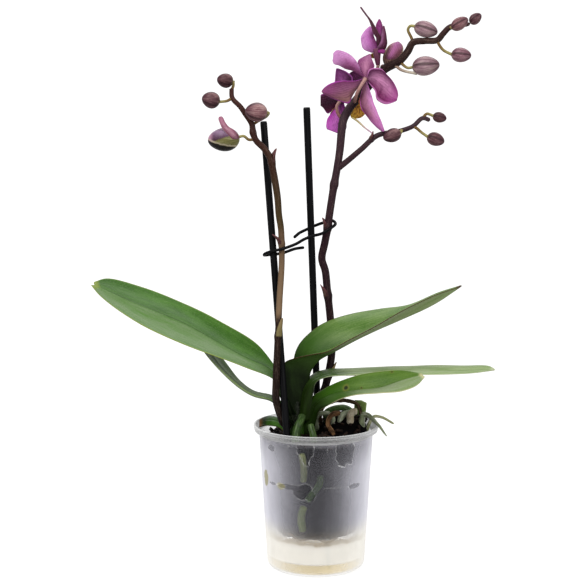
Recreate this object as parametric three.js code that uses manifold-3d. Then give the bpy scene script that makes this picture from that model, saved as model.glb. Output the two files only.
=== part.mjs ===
// A moth orchid in its clear nursery pot, in millimetres, +Z up.
// The origin is the middle of the flat underside of the pot.
import * as THREE from "three";
import { mergeVertices } from "three/addons/utils/BufferGeometryUtils.js";
import Module from "manifold-3d";

const wasm = await Module();
wasm.setup();

// Driving dimensions of the pot
const POT_HEIGHT = 104;
const RIM_RADIUS = 45;
const LIP_HEIGHT = 6.4;
const LIP_RIDGE = 0.6;
const BODY_TOP_RADIUS = 40.9;
const BASE_RADIUS = 35.3;
const BASE_ROUND = 5;
const WALL = 1;
const FLOOR = 1.2;
const WATER_LEVEL = 10;

// Driving dimensions of the planting
const BALL_TOP = 96;
const BALL_BOTTOM = 24;
const BALL_BOTTOM_RADIUS = 28.5;
const BARK_ROUGHNESS = 1.6;
const STEM_HOLE_GAP = 0.35;
const SEAT_GAP = 0.3;

// Driving dimensions of the plant
const STAKE_RADIUS = 2.5;
const TIE_RADIUS = 1.1;
const PEDICEL_RADIUS = 1.1;
const BRACT = 0.9;
const LEAF_RIB = 2.2;
const LEAF_EDGE = 0.9;
const SHEATH_GAP = 0.006;
const SHEATH_STEPS = 4;
const ROOT_STEPS = 7;
const LEAF_STEPS = 14;
const PETAL = 0.9;
const PETAL_EDGE = 0.6;
const PETAL_STEPS = 5;
const LIP_NECK = 1.2;

// Colours, each with its roughness
const FINISH = {
  pot: { color: 0xd9d8de, roughness: 0.35, transparent: true, opacity: 0.4 },
  water: { color: 0xe9dca8, roughness: 0.1, transparent: true, opacity: 0.6 },
  bark: { color: 0x1b1412, roughness: 0.95 },
  leaf: { color: 0x4f7f37, roughness: 0.45 },
  leafPale: { color: 0x9fb36a, roughness: 0.6 },
  root: { color: 0x8a9a72, roughness: 0.7 },
  wetRoot: { color: 0x5c7a34, roughness: 0.5 },
  dry: { color: 0x7a5a38, roughness: 0.9 },
  pale: { color: 0xcfc3a6, roughness: 0.85 },
  spike: { color: 0x4a2f2c, roughness: 0.6 },
  stake: { color: 0x0d0d0e, roughness: 0.4 },
  bud: { color: 0x6b4350, roughness: 0.5 },
  bloom: { color: 0x9a3f86, roughness: 0.5 },
  lip: { color: 0xc79a3a, roughness: 0.5 },
};

const point = ([x, y, z]) => new THREE.Vector3(x, y, z);
const line = (list) =>
  new THREE.CatmullRomCurve3(list.map(point), false, "centripetal");
const lerp = THREE.MathUtils.lerp;

// A fixed sequence of numbers from 0 to 1, the same each time.
function sequence(seed) {
  let state = seed;
  return () => {
    state = (state * 16807) % 2147483647;
    return state / 2147483647;
  };
}

function solid(geometry) {
  const bare = geometry.clone();
  bare.deleteAttribute("normal");
  bare.deleteAttribute("uv");
  const merged = mergeVertices(bare, 1e-3);
  const triVerts = new Uint32Array(merged.index.array);
  const vertProperties = merged.attributes.position.array;
  return new wasm.Manifold(
    new wasm.Mesh({ numProp: 3, vertProperties, triVerts }),
  );
}

const join = (...geometries) =>
  geometries.map(solid).reduce((sum, next) => sum.add(next));
const cut = (body, ...tools) =>
  tools.map(solid).reduce((rest, tool) => rest.subtract(tool), body);

const largest = (body) =>
  body.decompose().reduce((best, next) => (next.volume() > best.volume() ? next : best));

function asGeometry(manifold) {
  const mesh = manifold.getMesh();
  const geometry = new THREE.BufferGeometry();
  geometry.setAttribute(
    "position",
    new THREE.BufferAttribute(new Float32Array(mesh.vertProperties), 3),
  );
  geometry.setIndex(new THREE.BufferAttribute(mesh.triVerts, 1));
  geometry.computeVertexNormals();
  return geometry;
}

// A closed round stem along a curve: a cylinder bent onto it, its radius given along the way.
function stem(curve, radiusAt, sides, steps) {
  const frames = curve.computeFrenetFrames(steps);
  const geometry = new THREE.CylinderGeometry(1, 1, 1, sides, steps);
  const places = geometry.attributes.position;
  for (let i = 0; i < places.count; i += 1) {
    const step = Math.round((0.5 - places.getY(i)) * steps);
    const along = step / steps;
    const radius = radiusAt(along);
    const place = curve.getPointAt(along);
    place.addScaledVector(frames.normals[step], places.getX(i) * radius);
    place.addScaledVector(frames.binormals[step], places.getZ(i) * radius);
    places.setXYZ(i, place.x, place.y, place.z);
  }
  return geometry;
}

// A closed thin blade round a middle surface, split into triangles alike on both faces.
// surface(t, s) gives a point: t runs from base to tip, s from -1 to 1 across.
function blade(surface, thicknessAt, long, across) {
  const columns = across + 1;
  const places = [];
  const step = 1e-3;
  const layer = (side) => {
    for (let i = 0; i <= long; i += 1) {
      for (let j = 0; j <= across; j += 1) {
        const t = THREE.MathUtils.clamp(i / long, step, 1 - step);
        const s = THREE.MathUtils.clamp((2 * j) / across - 1, step - 1, 1 - step);
        const alongT = surface(t + step, s).sub(surface(t - step, s));
        const alongS = surface(t, s + step).sub(surface(t, s - step));
        const normal = alongS.cross(alongT).normalize();
        const place = surface(i / long, (2 * j) / across - 1);
        place.addScaledVector(normal, (side * thicknessAt(t, s)) / 2);
        places.push(place.x, place.y, place.z);
      }
    }
  };
  layer(1);
  layer(-1);
  const below = (long + 1) * columns;
  const faces = [];
  for (let i = 0; i < long; i += 1) {
    for (let j = 0; j < across; j += 1) {
      const a = i * columns + j;
      const b = a + 1;
      const c = a + columns;
      const d = c + 1;
      faces.push(a, b, d, a, d, c);
      faces.push(below + a, below + d, below + b, below + a, below + c, below + d);
    }
  }
  const wall = (p, q) => faces.push(p, below + p, below + q, p, below + q, q);
  for (let j = 0; j < across; j += 1) {
    wall(j, j + 1);
    wall(long * columns + j + 1, long * columns + j);
  }
  for (let i = 0; i < long; i += 1) {
    wall((i + 1) * columns, i * columns);
    wall(i * columns + across, (i + 1) * columns + across);
  }
  const geometry = new THREE.BufferGeometry();
  geometry.setAttribute("position", new THREE.Float32BufferAttribute(places, 3));
  geometry.setIndex(faces);
  return geometry;
}

const plant = new THREE.Group();

function add(name, geometry, finish) {
  const mesh = new THREE.Mesh(geometry, new THREE.MeshStandardMaterial(FINISH[finish]));
  mesh.name = name;
  plant.add(mesh);
  return mesh;
}

// Pot: a thin tapered cup with a flat base, a rounded base edge and a stepped lip

function outerRadius(z) {
  const share = (z - BASE_ROUND) / (POT_HEIGHT - LIP_HEIGHT - BASE_ROUND);
  return lerp(BASE_RADIUS, BODY_TOP_RADIUS, share);
}

const innerRadius = (z) => outerRadius(z) - WALL;

function lathe(profile, segments) {
  const turned = new THREE.LatheGeometry(profile, segments);
  return turned.rotateX(Math.PI / 2);
}

function potGeometry() {
  const profile = [new THREE.Vector2(0, 0)];
  const corner = (radius, centreRadius, centreZ) => {
    for (let step = 0; step <= 4; step += 1) {
      const angle = (step / 4) * (Math.PI / 2);
      profile.push(
        new THREE.Vector2(
          centreRadius + radius * Math.sin(angle),
          centreZ - radius * Math.cos(angle),
        ),
      );
    }
  };
  const lipFoot = POT_HEIGHT - LIP_HEIGHT;
  corner(BASE_ROUND, BASE_RADIUS - BASE_ROUND, BASE_ROUND);
  profile.push(new THREE.Vector2(BODY_TOP_RADIUS, lipFoot));
  profile.push(new THREE.Vector2(RIM_RADIUS - LIP_RIDGE, lipFoot + 2.2));
  profile.push(new THREE.Vector2(RIM_RADIUS - LIP_RIDGE, lipFoot + 4.2));
  profile.push(new THREE.Vector2(RIM_RADIUS, lipFoot + 4.8));
  profile.push(new THREE.Vector2(RIM_RADIUS, POT_HEIGHT - 0.4));
  profile.push(new THREE.Vector2(RIM_RADIUS - 0.4, POT_HEIGHT));
  profile.push(new THREE.Vector2(RIM_RADIUS - LIP_RIDGE - WALL, POT_HEIGHT));
  profile.push(new THREE.Vector2(RIM_RADIUS - LIP_RIDGE - WALL, lipFoot + 2.8));
  profile.push(new THREE.Vector2(BODY_TOP_RADIUS - WALL, lipFoot + 0.6));
  const inside = [];
  for (let step = 0; step <= 3; step += 1) {
    const angle = (step / 3) * (Math.PI / 2);
    const round = BASE_ROUND - WALL;
    inside.push(
      new THREE.Vector2(
        BASE_RADIUS - BASE_ROUND + round * Math.sin(angle),
        FLOOR + round * (1 - Math.cos(angle)),
      ),
    );
  }
  profile.push(...inside.reverse());
  profile.push(new THREE.Vector2(0, FLOOR));
  return lathe(profile, 40);
}

function waterGeometry() {
  const round = BASE_ROUND - WALL;
  const bottom = FLOOR + SEAT_GAP;
  const profile = [
    new THREE.Vector2(0, bottom),
    new THREE.Vector2(BASE_RADIUS - BASE_ROUND, bottom),
    new THREE.Vector2(BASE_RADIUS - BASE_ROUND + 0.65 * round, bottom + 0.35 * round),
    new THREE.Vector2(innerRadius(BASE_ROUND) - 1.5 * SEAT_GAP, BASE_ROUND + SEAT_GAP),
    new THREE.Vector2(innerRadius(WATER_LEVEL) - SEAT_GAP, WATER_LEVEL),
    new THREE.Vector2(0, WATER_LEVEL),
  ];
  return lathe(profile, 22);
}

// Substrate: the dark ball of bark and moss, wedged in the top of the pot and rough all over
// The ball's top is heaped up on the right, behind the roots that lie on it
const MOUND = { x: 22, y: 9, reach: 17, height: 11 };

function heap(x, y) {
  const away = ((x - MOUND.x) ** 2 + (y - MOUND.y) ** 2) / MOUND.reach ** 2;
  return Math.exp(-(away ** 2));
}

function substrateGeometry() {
  const wedge = (z) => innerRadius(z) - STEM_HOLE_GAP;
  const profile = [
    [0, BALL_BOTTOM],
    [14, BALL_BOTTOM - 0.5],
    [BALL_BOTTOM_RADIUS, BALL_BOTTOM + 2],
    [33, 32],
    [35.6, 44],
    [37.2, 68],
    [wedge(88), 88],
    [wedge(93), 93],
    [35, BALL_TOP],
    [27, BALL_TOP + 1],
    [18, BALL_TOP + 1],
    [9, BALL_TOP],
    [0, BALL_TOP],
  ].map(([radius, z]) => new THREE.Vector2(radius, z));
  const geometry = lathe(profile, 21);
  const bare = new THREE.BufferGeometry();
  bare.setAttribute("position", geometry.attributes.position);
  bare.setIndex(geometry.index);
  const merged = mergeVertices(bare, 1e-3);
  const random = sequence(77);
  const places = merged.attributes.position;
  for (let i = 0; i < places.count; i += 1) {
    const x = places.getX(i);
    const y = places.getY(i);
    const z = places.getZ(i);
    const radius = Math.hypot(x, y);
    const dent = random() * BARK_ROUGHNESS;
    const lump = (random() - 0.5) * 2 * BARK_ROUGHNESS;
    const mound = z > BALL_TOP - 2 ? 0.045 * (x + y) + MOUND.height * heap(x, y) : 0;
    const onWall = radius > wedge(z) - 0.1;
    const shrink = radius > 1 && !onWall ? 1 - dent / radius : 1;
    places.setXYZ(i, x * shrink, y * shrink, z + (onWall ? 0 : lump + mound));
  }
  return merged;
}

// Leaves: each is a surface through three rails, its far edge, its rib and its near edge
const ARCH = 0.07;

function leafSurface({ far, rib, near }) {
  const rails = { far: line(far), rib: line(rib), near: line(near) };
  return (t, s) => {
    const along = THREE.MathUtils.clamp(t, 0, 1);
    const middle = rails.rib.getPointAt(along);
    const edge = (s < 0 ? rails.far : rails.near).getPointAt(along);
    const half = edge.clone().sub(middle);
    const across = rails.far.getPointAt(along).sub(rails.near.getPointAt(along));
    const up = rails.rib.getTangentAt(along).cross(across).normalize();
    const share = Math.abs(s);
    const sag = half.length() * ARCH * Math.sin(Math.PI * share);
    return middle.addScaledVector(half, share).addScaledVector(up, sag);
  };
}

const LEAVES = {
  leaf_left_upper: {
    clasp: 0.13,
    far: [
      [-13, 7, 112], [-20, 6, 126], [-26, 6, 138], [-31, 8, 146.5], [-43, 12, 160.5],
      [-74, 22, 177.5], [-99, 30, 188.5], [-128, 34, 199], [-152, 30, 205.5], [-161, 20, 204],
    ],
    rib: [
      [-18, 0, 110], [-25, -1, 124], [-28, -2, 134.5], [-32, -2, 142.5], [-54, 0, 153],
      [-93, 8, 174], [-112, 11, 182], [-136.5, 14, 191.5], [-160, 16, 202.5],
    ],
    near: [
      [-14, -7, 112], [-20, -8, 125], [-25, -9, 133], [-31, -9, 138.5], [-49, -12, 146.5],
      [-66, -14, 153.5], [-91.5, -12, 162.5], [-110.5, -8, 170], [-130, -3, 179.5],
      [-155, 9, 195.5], [-162, 13, 203],
    ],
  },
  leaf_left_lower: {
    clasp: 0.22,
    far: [
      [-13, 7, 99], [-19, 8, 110], [-24.5, 8, 118], [-31, 10, 122.5], [-45, 16, 125],
      [-55, 21, 131.5], [-67.5, 26, 146], [-78.5, 30, 159], [-85, 32, 168.5], [-90, 30, 172.5],
    ],
    rib: [
      [-18, 1, 98], [-25, 1, 109], [-28, 1, 116.5], [-32.5, 1, 121], [-44.5, 3, 124.5],
      [-54.5, 6, 130], [-68.5, 10, 142.5], [-78, 14, 154.5], [-86, 20, 163], [-91.5, 27, 171.5],
    ],
    near: [
      [-13, -7, 100], [-20, -7, 111], [-25, -7, 117.5], [-31.5, -7, 122.5], [-44.5, -8, 126],
      [-54, -8, 132], [-68, -5, 144], [-79, 0, 155], [-85, 10, 162.5], [-92, 24, 170.5],
    ],
  },
  leaf_right_upper: {
    clasp: 0.24,
    far: [
      [-13, 7, 111], [-13.5, 7, 127], [-16, 5, 142], [-16, 4, 151.5], [-12, 7, 161],
      [-1.5, 9, 171.5], [9, 10, 177.5], [25, 12, 182], [46, 12, 185.5], [67, 9, 189],
      [88.5, 4, 199], [103, -2, 204.5],
    ],
    rib: [
      [-6, 1, 110.5], [-5, -1, 125], [-4.5, -4, 141], [1, -6, 150.5], [13, -8, 158],
      [25, -9, 165], [40, -9, 172.5], [60.5, -8, 181.5], [81.5, -6, 191], [103, -3, 204],
    ],
    near: [
      [-19, -6, 112.5], [-20.5, -8, 126.5], [-21.5, -9, 141], [-22, -11, 150.5],
      [-17.5, -14, 153.5], [-2, -21, 158], [7, -25, 160.5], [18.5, -27, 167],
      [38.5, -27, 177.5], [59.5, -23, 189], [80.5, -15, 198], [102.5, -4, 204],
    ],
  },
  leaf_right_back: {
    clasp: 0.2,
    far: [
      [-15, -3, 106], [-11.5, 0, 118.5], [-10, 1, 129.5], [-5, 2, 137.5], [1.5, 3, 141.5],
      [10, 5, 143], [19.5, 9, 142.5], [41.5, 16, 142], [74, 23, 142], [107, 27, 141.5],
      [127, 27, 141], [131, 23, 139.5],
    ],
    rib: [
      [-9, -7, 107], [-8, -7, 119.5], [-6, -7.5, 129], [-2, -7.5, 136], [5.5, -7, 139.5],
      [19, -4, 140.5], [40, -1, 140], [72, 5, 140], [104.5, 13, 139], [131.5, 22, 139],
    ],
    near: [
      [-4, -8, 108], [-3, -10, 120], [-2, -11, 129], [0, -12, 136.5], [8, -16, 141],
      [18.5, -19, 142.5], [39, -19, 143], [70.5, -12, 142], [103.5, 0, 140], [131, 21, 139],
    ],
  },
  leaf_right_front: {
    clasp: 0.28,
    far: [
      [-11, -3, 97], [-8.5, -4, 110], [-6.5, -6, 118.5], [-3, -8, 125], [3.5, -11, 130],
      [11.5, -15, 135.5], [29, -22, 143.5], [44, -27, 147], [59, -31, 148.5], [73, -38, 147],
    ],
    rib: [
      [-7, -5.5, 97], [-3.5, -8, 109.5], [-1.5, -11, 118.5], [3, -15, 124], [12, -21, 129.5],
      [26.5, -28, 133], [43.5, -35, 136.5], [58.5, -39, 142.5], [72.5, -41, 147],
    ],
    near: [
      [-3, -9, 98], [0.5, -12, 110.5], [2, -16, 116.5], [8.5, -25, 122.5], [16.5, -33, 128.5],
      [28, -42, 133.5], [43, -49, 136], [57.5, -51, 137.5], [68, -48, 141], [74, -42.5, 146],
    ],
  },
};

function leafThickness(t, s) {
  const rib = lerp(LEAF_RIB, LEAF_EDGE, Math.sqrt(Math.abs(s)));
  return t > 0.9 ? lerp(rib, LEAF_EDGE, (t - 0.9) * 10) : rib;
}

function leafPart(surface, from, to, long, spare = 0) {
  const stretch = (t) => lerp(from, to, t);
  const widen = 1 + spare / 3;
  return blade(
    (t, s) => surface(stretch(t), s * widen),
    (t, s) => leafThickness(stretch(t), s) + 2 * spare,
    long,
    4,
  );
}

// Spikes: dark arching flower stems with their nodes, bracts and pedicels
const SPIKE_LEFT = line([
  [-19.5, -8, 103], [-23.5, -12, 107.5], [-25, -14.5, 112], [-28.5, -16, 124.5],
  [-28.5, -17, 137], [-27.5, -18, 164], [-27, -17, 174.5], [-26, -13, 195.5],
  [-24.5, -7, 221.5], [-25, -5, 244], [-26.5, -4, 254.5], [-27.5, -3, 267], [-30.5, -2, 285],
  [-32.5, -2, 294], [-37, -2, 301], [-42.5, -1, 306.5], [-44.5, -1, 311.5], [-45.5, 0, 318],
  [-50, 0, 325], [-53.5, 0, 330], [-59, 0, 336], [-59.5, 0, 343],
]);
const SPIKE_RIGHT = line([
  [-4.5, 4, 113], [1.5, 7, 119.5], [6.5, 10, 128], [8, 11, 133.5], [10, 12, 142.5],
  [11.5, 14, 153.5], [11, 15, 169.5], [10.5, 14, 177], [8, 10, 200], [6.5, 8, 213.5],
  [4, 7, 222.5], [6, 6, 233.5], [8, 5, 244.5], [9.5, 5, 255.5], [12, 6, 272], [14.5, 7, 286],
  [16.5, 8, 299], [18, 9, 315], [19, 10, 320.5], [23, 15, 328], [28, 19, 334],
  [38, 22, 345.5], [48, 19, 356], [58.5, 11, 362], [64, 8, 368.5], [67.5, 6, 374.5],
  [75.5, 4, 375.5], [84, 2, 376], [88, 1, 380.5], [92, 0, 384.5], [99, 0, 386.5],
  [104, 0, 386.4], [106.4, 0, 387.5],
]);
const SIDE_BRANCH = line([
  [14.5, 7, 286], [23, 4, 293], [31.5, 0, 300.5], [42.5, -3, 310], [57.5, -5, 313],
  [67, -6, 316.5], [73.5, -6, 322], [79, -6, 320.5],
]);

// Each pedicel is a short bent stalk from the spike to a bud or to the back of a flower.
const LEFT_PEDICELS = [
  [[-59.5, 0, 341], [-58.2, 0, 344.8], [-58.2, 0, 346.8]],
  [[-59, 0, 336], [-62.5, -1, 334], [-67.8, -2, 333.3]],
  [[-45.5, 0, 317], [-41, 1.5, 320], [-35.5, 1.5, 323], [-33.6, -3, 325.5], [-34.3, -5.2, 325.7]],
  [[-43, -1, 307.5], [-47.5, -1, 307], [-51, -2, 309.5], [-54.4, -2, 309]],
];
const RIGHT_PEDICELS = [
  [[67.5, 6, 374.5], [66.3, 8, 378], [64, 9, 383.5], [65.5, 8, 386], [68.2, 6.3, 385.7]],
  [[58.5, 11, 362], [61, 9, 359], [64, 7, 357], [67.2, 6, 357.4]],
  [[84, 2, 376], [85, 1, 373], [88, 0, 369], [93.7, 0, 366.1]],
  [[73.5, -6, 322], [76.5, -6, 325], [80.7, -6, 323.7]],
  [[67, -6, 316.5], [69.5, -7, 315], [73, -8, 312], [76.8, -8, 309.4]],
  [[57.5, -5, 313], [59, -7.5, 313.5], [58.4, -8.6, 312.6]],
  [[92.5, 0, 384.8], [92.8, -2.2, 384.4], [93.6, -4, 384]],
  [[55.5, 12, 359], [59, 10, 356], [63, 7, 354.4], [69, 5, 353.2]],
];
const FLOWER_STALKS = [
  [[28, 18, 334], [27, 9, 333.5], [27, 1, 335], [28, -4.5, 339.5], [31, -5, 345], [33.3, -0.9, 348.4]],
  [[19, 10, 320.5], [15.5, 14, 325], [14.5, 18, 330], [16.7, 21.6, 333.6]],
  [[42.5, 18, 351.5], [43, 16.8, 355.5], [43.5, 15.8, 358.2]],
  [[48, 18, 356], [46.6, 20, 358.2], [47.6, 21.3, 358.9], [48.8, 21.3, 358.6]],
];

const stalks = (lists, radius) =>
  lists.map((list) => stem(line(list), (t) => radius * (1 - 0.15 * t), 5, 4));

// A bract or a node: a pointed scale wrapped round one side of its stem.
function bract(curve, radiusAt, at, length, turn, spread) {
  const start = curve.getPointAt(at);
  const along = curve.getTangentAt(at);
  const side = new THREE.Vector3(Math.cos(turn), Math.sin(turn), 0);
  side.addScaledVector(along, -side.dot(along)).normalize();
  const across = along.clone().cross(side);
  const surface = (t, s) => {
    const width = 1 - 0.85 * t * t;
    const angle = s * 1.5 * width;
    const radius = radiusAt(at) + 0.1 + spread * t * t;
    const place = start.clone().addScaledVector(along, length * t);
    place.addScaledVector(side, radius * Math.cos(angle));
    return place.addScaledVector(across, radius * Math.sin(angle));
  };
  return blade(surface, () => BRACT, 3, 4);
}

// How thick each spike is at shares of its length, in pairs of share and radius.
const LEFT_THICKNESS = [[0, 3], [0.15, 2.6], [0.3, 2.2], [0.5, 2.1], [0.72, 2.5], [0.85, 2.2], [1, 1.6]];
const RIGHT_THICKNESS = [[0, 2.8], [0.55, 2.7], [0.68, 3.2], [0.8, 3], [0.88, 2.4], [0.96, 2], [1, 1.2]];

function thickness(pairs) {
  return (t) => {
    const next = Math.max(1, pairs.findIndex(([share]) => share >= t));
    const [[low, thin], [high, thick]] = [pairs[next - 1], pairs[next]];
    return lerp(thin, thick, (t - low) / (high - low));
  };
}

const leftRadius = thickness(LEFT_THICKNESS);
const rightRadius = thickness(RIGHT_THICKNESS);
const branchRadius = (t) => lerp(2.2, 1.5, t);

function spikeLeft() {
  return join(
    stem(SPIKE_LEFT, leftRadius, 6, 30),
    ...stalks(LEFT_PEDICELS, PEDICEL_RADIUS),
    bract(SPIKE_LEFT, leftRadius, 0.28, 13, -0.6, 0.5),
    bract(SPIKE_LEFT, leftRadius, 0.535, 7, Math.PI, 4),
    bract(SPIKE_LEFT, leftRadius, 0.76, 9, 0.3, 3),
  );
}

function spikeRight() {
  return join(
    stem(SPIKE_RIGHT, rightRadius, 6, 40),
    stem(SIDE_BRANCH, branchRadius, 5, 12),
    ...stalks(RIGHT_PEDICELS, PEDICEL_RADIUS),
    ...stalks(FLOWER_STALKS, PEDICEL_RADIUS * 1.15),
    bract(SPIKE_RIGHT, rightRadius, 0.085, 11, 0, 0.6),
    bract(SPIKE_RIGHT, rightRadius, 0.26, 9, 3.4, 1.5),
    bract(SPIKE_RIGHT, rightRadius, 0.41, 6, 3, 2),
    bract(SIDE_BRANCH, branchRadius, 0.42, 5, 3, 1.5),
  );
}

// Stakes and tie
const STAKE_LEFT = line([[-19, -25.3, 75], [-21, -21, 101.5], [-37.5, 14, 319.5]]);
const STAKE_RIGHT = line([[4, 22.5, 42], [1.5, 18.5, 106.5], [-7, 4, 329.5]]);

const TIE = line([
  [-16, 6, 237.5], [-12, 10.5, 240.5], [-6.5, 13, 243], [-1, 13, 245.5], [5.5, 10.3, 248],
  [11.5, 7.9, 249.5], [13.5, 4, 247.5], [10.5, 1, 245], [4, 1, 241], [-3.5, 4.2, 238.7],
  [-9, 3, 236.5], [-14.5, -4, 234], [-24, -9.6, 231], [-31, -4.5, 229], [-36, -2, 227],
  [-37, 1.5, 225.5], [-33, 5, 225.5], [-24, -0.5, 227.2], [-15, 2, 230], [-8.5, 1, 231],
]);

// Roots, remnants and what lies on top of the ball
const ROOTS = {
  root_over_rim: {
    finish: "root",
    radius: (t) => lerp(2.6, 0.8, t * t),
    path: [[33, 0, 98], [33, 0, 106.5], [34, 0, 110.2], [37.3, -2, 110.3], [40.8, -8, 108.2], [44.6, -14, 105.3],
      [47.3, -18, 102], [49.8, -20, 99]],
  },
  root_thin_pale: {
    finish: "pale",
    radius: (t) => lerp(1.4, 0.9, t),
    path: [[36.5, 4, 97], [38.5, 5, 103], [42, 7, 107.5], [48, 9, 106.5], [57, 12, 101]],
  },
  root_grey_arch: {
    finish: "root",
    radius: (t) => lerp(1.7, 2.7, t),
    path: [[8.5, 12.5, 98], [7, 12.5, 108.3], [10, 13, 111], [16, 13, 112.7], [21, 12.5, 112.8], [25, 11.5, 110.5],
      [25.2, 11, 102]],
  },
  root_silver_short: {
    finish: "root",
    radius: (t) => lerp(1.9, 1.8, t),
    path: [[1, 9, 96], [0, 6, 106], [1.5, 3.5, 110], [5, 2, 111], [9.5, 1, 110.6], [12, 1, 108], [12, 1, 99]],
  },
  root_silver_loop: {
    finish: "root",
    radius: (t) => lerp(2.4, 2.2, t),
    path: [[28, 4.5, 99], [28, 4.5, 107.5], [25.5, 4, 110.3], [21.6, 2, 110.8], [18.5, 0.5, 109.2], [17.2, -0.5, 105],
      [17.2, -0.5, 97]],
  },
  root_front_green: {
    finish: "wetRoot",
    radius: (t) => lerp(2.6, 3.2, t),
    path: [[-9.6, -14, 113.5], [-10.9, -17, 110.5], [-13.4, -21, 105.5], [-14.5, -24, 99], [-14.5, -25, 94]],
  },
  root_stub_front: {
    finish: "wetRoot",
    radius: (t) => lerp(2.4, 2.7, t),
    path: [[-4.5, -16, 107], [-3.5, -18, 104], [-2, -21.5, 99], [-2, -23, 93]],
  },
  stump_pale: {
    finish: "pale",
    radius: (t) => lerp(2.4, 2.7, t),
    path: [[24.4, -3, 98], [24.4, -3, 107], [24.8, -2.5, 111], [26.8, -2.3, 113.1], [29.7, -2.5, 113.2]],
  },
  sheath_dry_arch: {
    finish: "dry",
    radius: (t) => lerp(1.6, 1.2, t),
    path: [[4, 12, 97], [3, 11.5, 109], [6, 10.5, 115], [11, 10, 117.7], [17.5, 9.5, 118.9], [24.7, 8, 118.6],
      [29.7, 6.8, 116.7], [31.9, 6.3, 112.5], [31.8, 6.3, 100]],
  },
  sheath_dry_curl: {
    finish: "dry",
    radius: (t) => lerp(1.7, 1.5, t),
    path: [[17.5, -3, 112.3], [12.5, -5, 112.2], [9, -6.5, 109], [8.3, -8, 104.6], [10.8, -8.5, 100.9],
      [14.5, -9, 95.5]],
  },
  roots_bottom: {
    finish: "dry",
    radius: (t) => lerp(1.4, 1.1, t),
    path: [[-20, -20, 30], [-12, -24, 25.5], [-2, -26, 27.5], [8, -25, 24], [17, -21, 28]],
  },
  root_in_water: {
    finish: "wetRoot",
    radius: (t) => lerp(1.8, 1.1, t),
    path: [[6, -15, 30], [7, -18, 24], [8, -22, 18], [8.5, -26, 11], [9, -26.5, 3.5]],
  },
};

// A root pressed to the inside of the wall, given by its x and its height along the way.
const WALL_ROOTS = {
  root_wall_upper: { radius: 2.5, path: [[-11, 90.5], [-9.5, 85], [-9, 79], [-9.5, 69.5]] },
  root_wall_middle: { radius: 2.6, path: [[2.5, 75], [2.2, 69.5], [-0.8, 64.5], [-4, 60], [-6.8, 55.5]] },
  root_wall_lower: { radius: 2.9, path: [[-9, 52], [-10.2, 47.5], [-10.6, 41], [-10, 33]] },
};

function wallRoot({ radius, path }) {
  return path.map(([x, z]) => {
    const out = innerRadius(z) - SEAT_GAP - radius;
    return [x, -Math.sqrt(out * out - x * x), z];
  });
}

// Two remnants of older leaves: a cut stub at the back and a strip lying inside the rim
const STUB = {
  far: [[29, 14, 96], [28.5, 14, 105], [28, 14, 112], [28.3, 13.5, 118.6]],
  rib: [[32, 11, 96], [32.5, 10.8, 105], [32.8, 10.8, 112], [33, 10.5, 119]],
  near: [[34.5, 9, 96], [35.5, 9, 105], [36.5, 8.8, 112], [37, 8.8, 117.4]],
};
const OLD_STRIP = {
  far: [[-41, 10, 104.5], [-36, 12, 106.5], [-29, 12.5, 106], [-23, 13, 101.5], [-20.5, 13, 95]],
  rib: [[-41, 6, 102.5], [-36, 7, 104.3], [-29, 8, 103.8], [-23.5, 9, 100], [-21.5, 9, 94.5]],
  near: [[-41, 3.5, 100.5], [-36, 3.5, 101.6], [-29.5, 4, 101], [-24.5, 5, 98.5], [-22.5, 5.5, 94]],
};

// Buds: egg shaped, each with the three seams where its sepals meet
const BUDS = {
  bud_left_tip: { base: [-59.2, 0, 347.4], tip: [-69.6, -1, 349], width: 10 },
  bud_left_second: { base: [-68.5, -2, 333.5], tip: [-80, -4, 336], width: 11.5 },
  bud_left_third: { base: [-35.6, -5.8, 325.7], tip: [-49.5, -11, 327], width: 13 },
  bud_right_first: { base: [69, 6, 385.5], tip: [84, 2, 381], width: 11 },
  bud_right_second: { base: [68, 6, 357.5], tip: [85.5, 0, 359], width: 13.3 },
  bud_right_third: { base: [94.5, 0, 366], tip: [107, -4, 365], width: 10 },
  bud_right_fourth: { base: [93.9, -4.6, 384], tip: [103.5, -9.5, 390], width: 8.5 },
  bud_right_tip: { base: [107, 0, 388], tip: [113.5, -2, 393.5], width: 7.4 },
  bud_side_first: { base: [57.5, -9.3, 312], tip: [46, -12, 308], width: 9.4 },
  bud_side_tip: { base: [81.5, -6, 323.3], tip: [90, -8, 321.5], width: 7.2 },
  bud_side_lower: { base: [77.5, -8, 309], tip: [88.5, -10, 305.5], width: 9.2 },
};

function budGeometry(length, width) {
  const geometry = new THREE.SphereGeometry(1, 9, 7);
  const places = geometry.attributes.position;
  for (let i = 0; i < places.count; i += 1) {
    const x = places.getX(i);
    const z = places.getZ(i);
    const share = (places.getY(i) + 1) / 2;
    const plump = 1.06 - 0.24 * share * share;
    const seam = 1 - 0.06 * Math.abs(Math.cos(1.5 * Math.atan2(z, x)));
    const radius = (width / 2) * plump * seam;
    places.setXYZ(i, x * radius, share * length, z * radius);
  }
  return geometry;
}

function budBody({ base, tip, width }) {
  const reach = point(tip).sub(point(base));
  const turn = new THREE.Quaternion();
  turn.setFromUnitVectors(new THREE.Vector3(0, 1, 0), reach.clone().normalize());
  const geometry = budGeometry(reach.length(), width).applyQuaternion(turn);
  return geometry.translate(...base);
}

// A sepal or petal laid through three rails: its left edge, its middle and its right edge
function petal({ left, mid, right }) {
  const rails = [left, mid, right].map(line);
  const surface = (t, s) => {
    const along = THREE.MathUtils.clamp(t, 0, 1);
    const [a, b, c] = rails.map((rail) => rail.getPointAt(along));
    const place = b.multiplyScalar(1 - s * s);
    place.addScaledVector(a, (s * s - s) / 2);
    return place.addScaledVector(c, (s * s + s) / 2);
  };
  const thickness = (t, s) => lerp(PETAL, PETAL_EDGE, Math.abs(s));
  return blade(surface, thickness, PETAL_STEPS, 4);
}

function heart([x, y, z], radius) {
  return new THREE.SphereGeometry(radius, 6, 5).translate(x, y, z);
}

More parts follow.
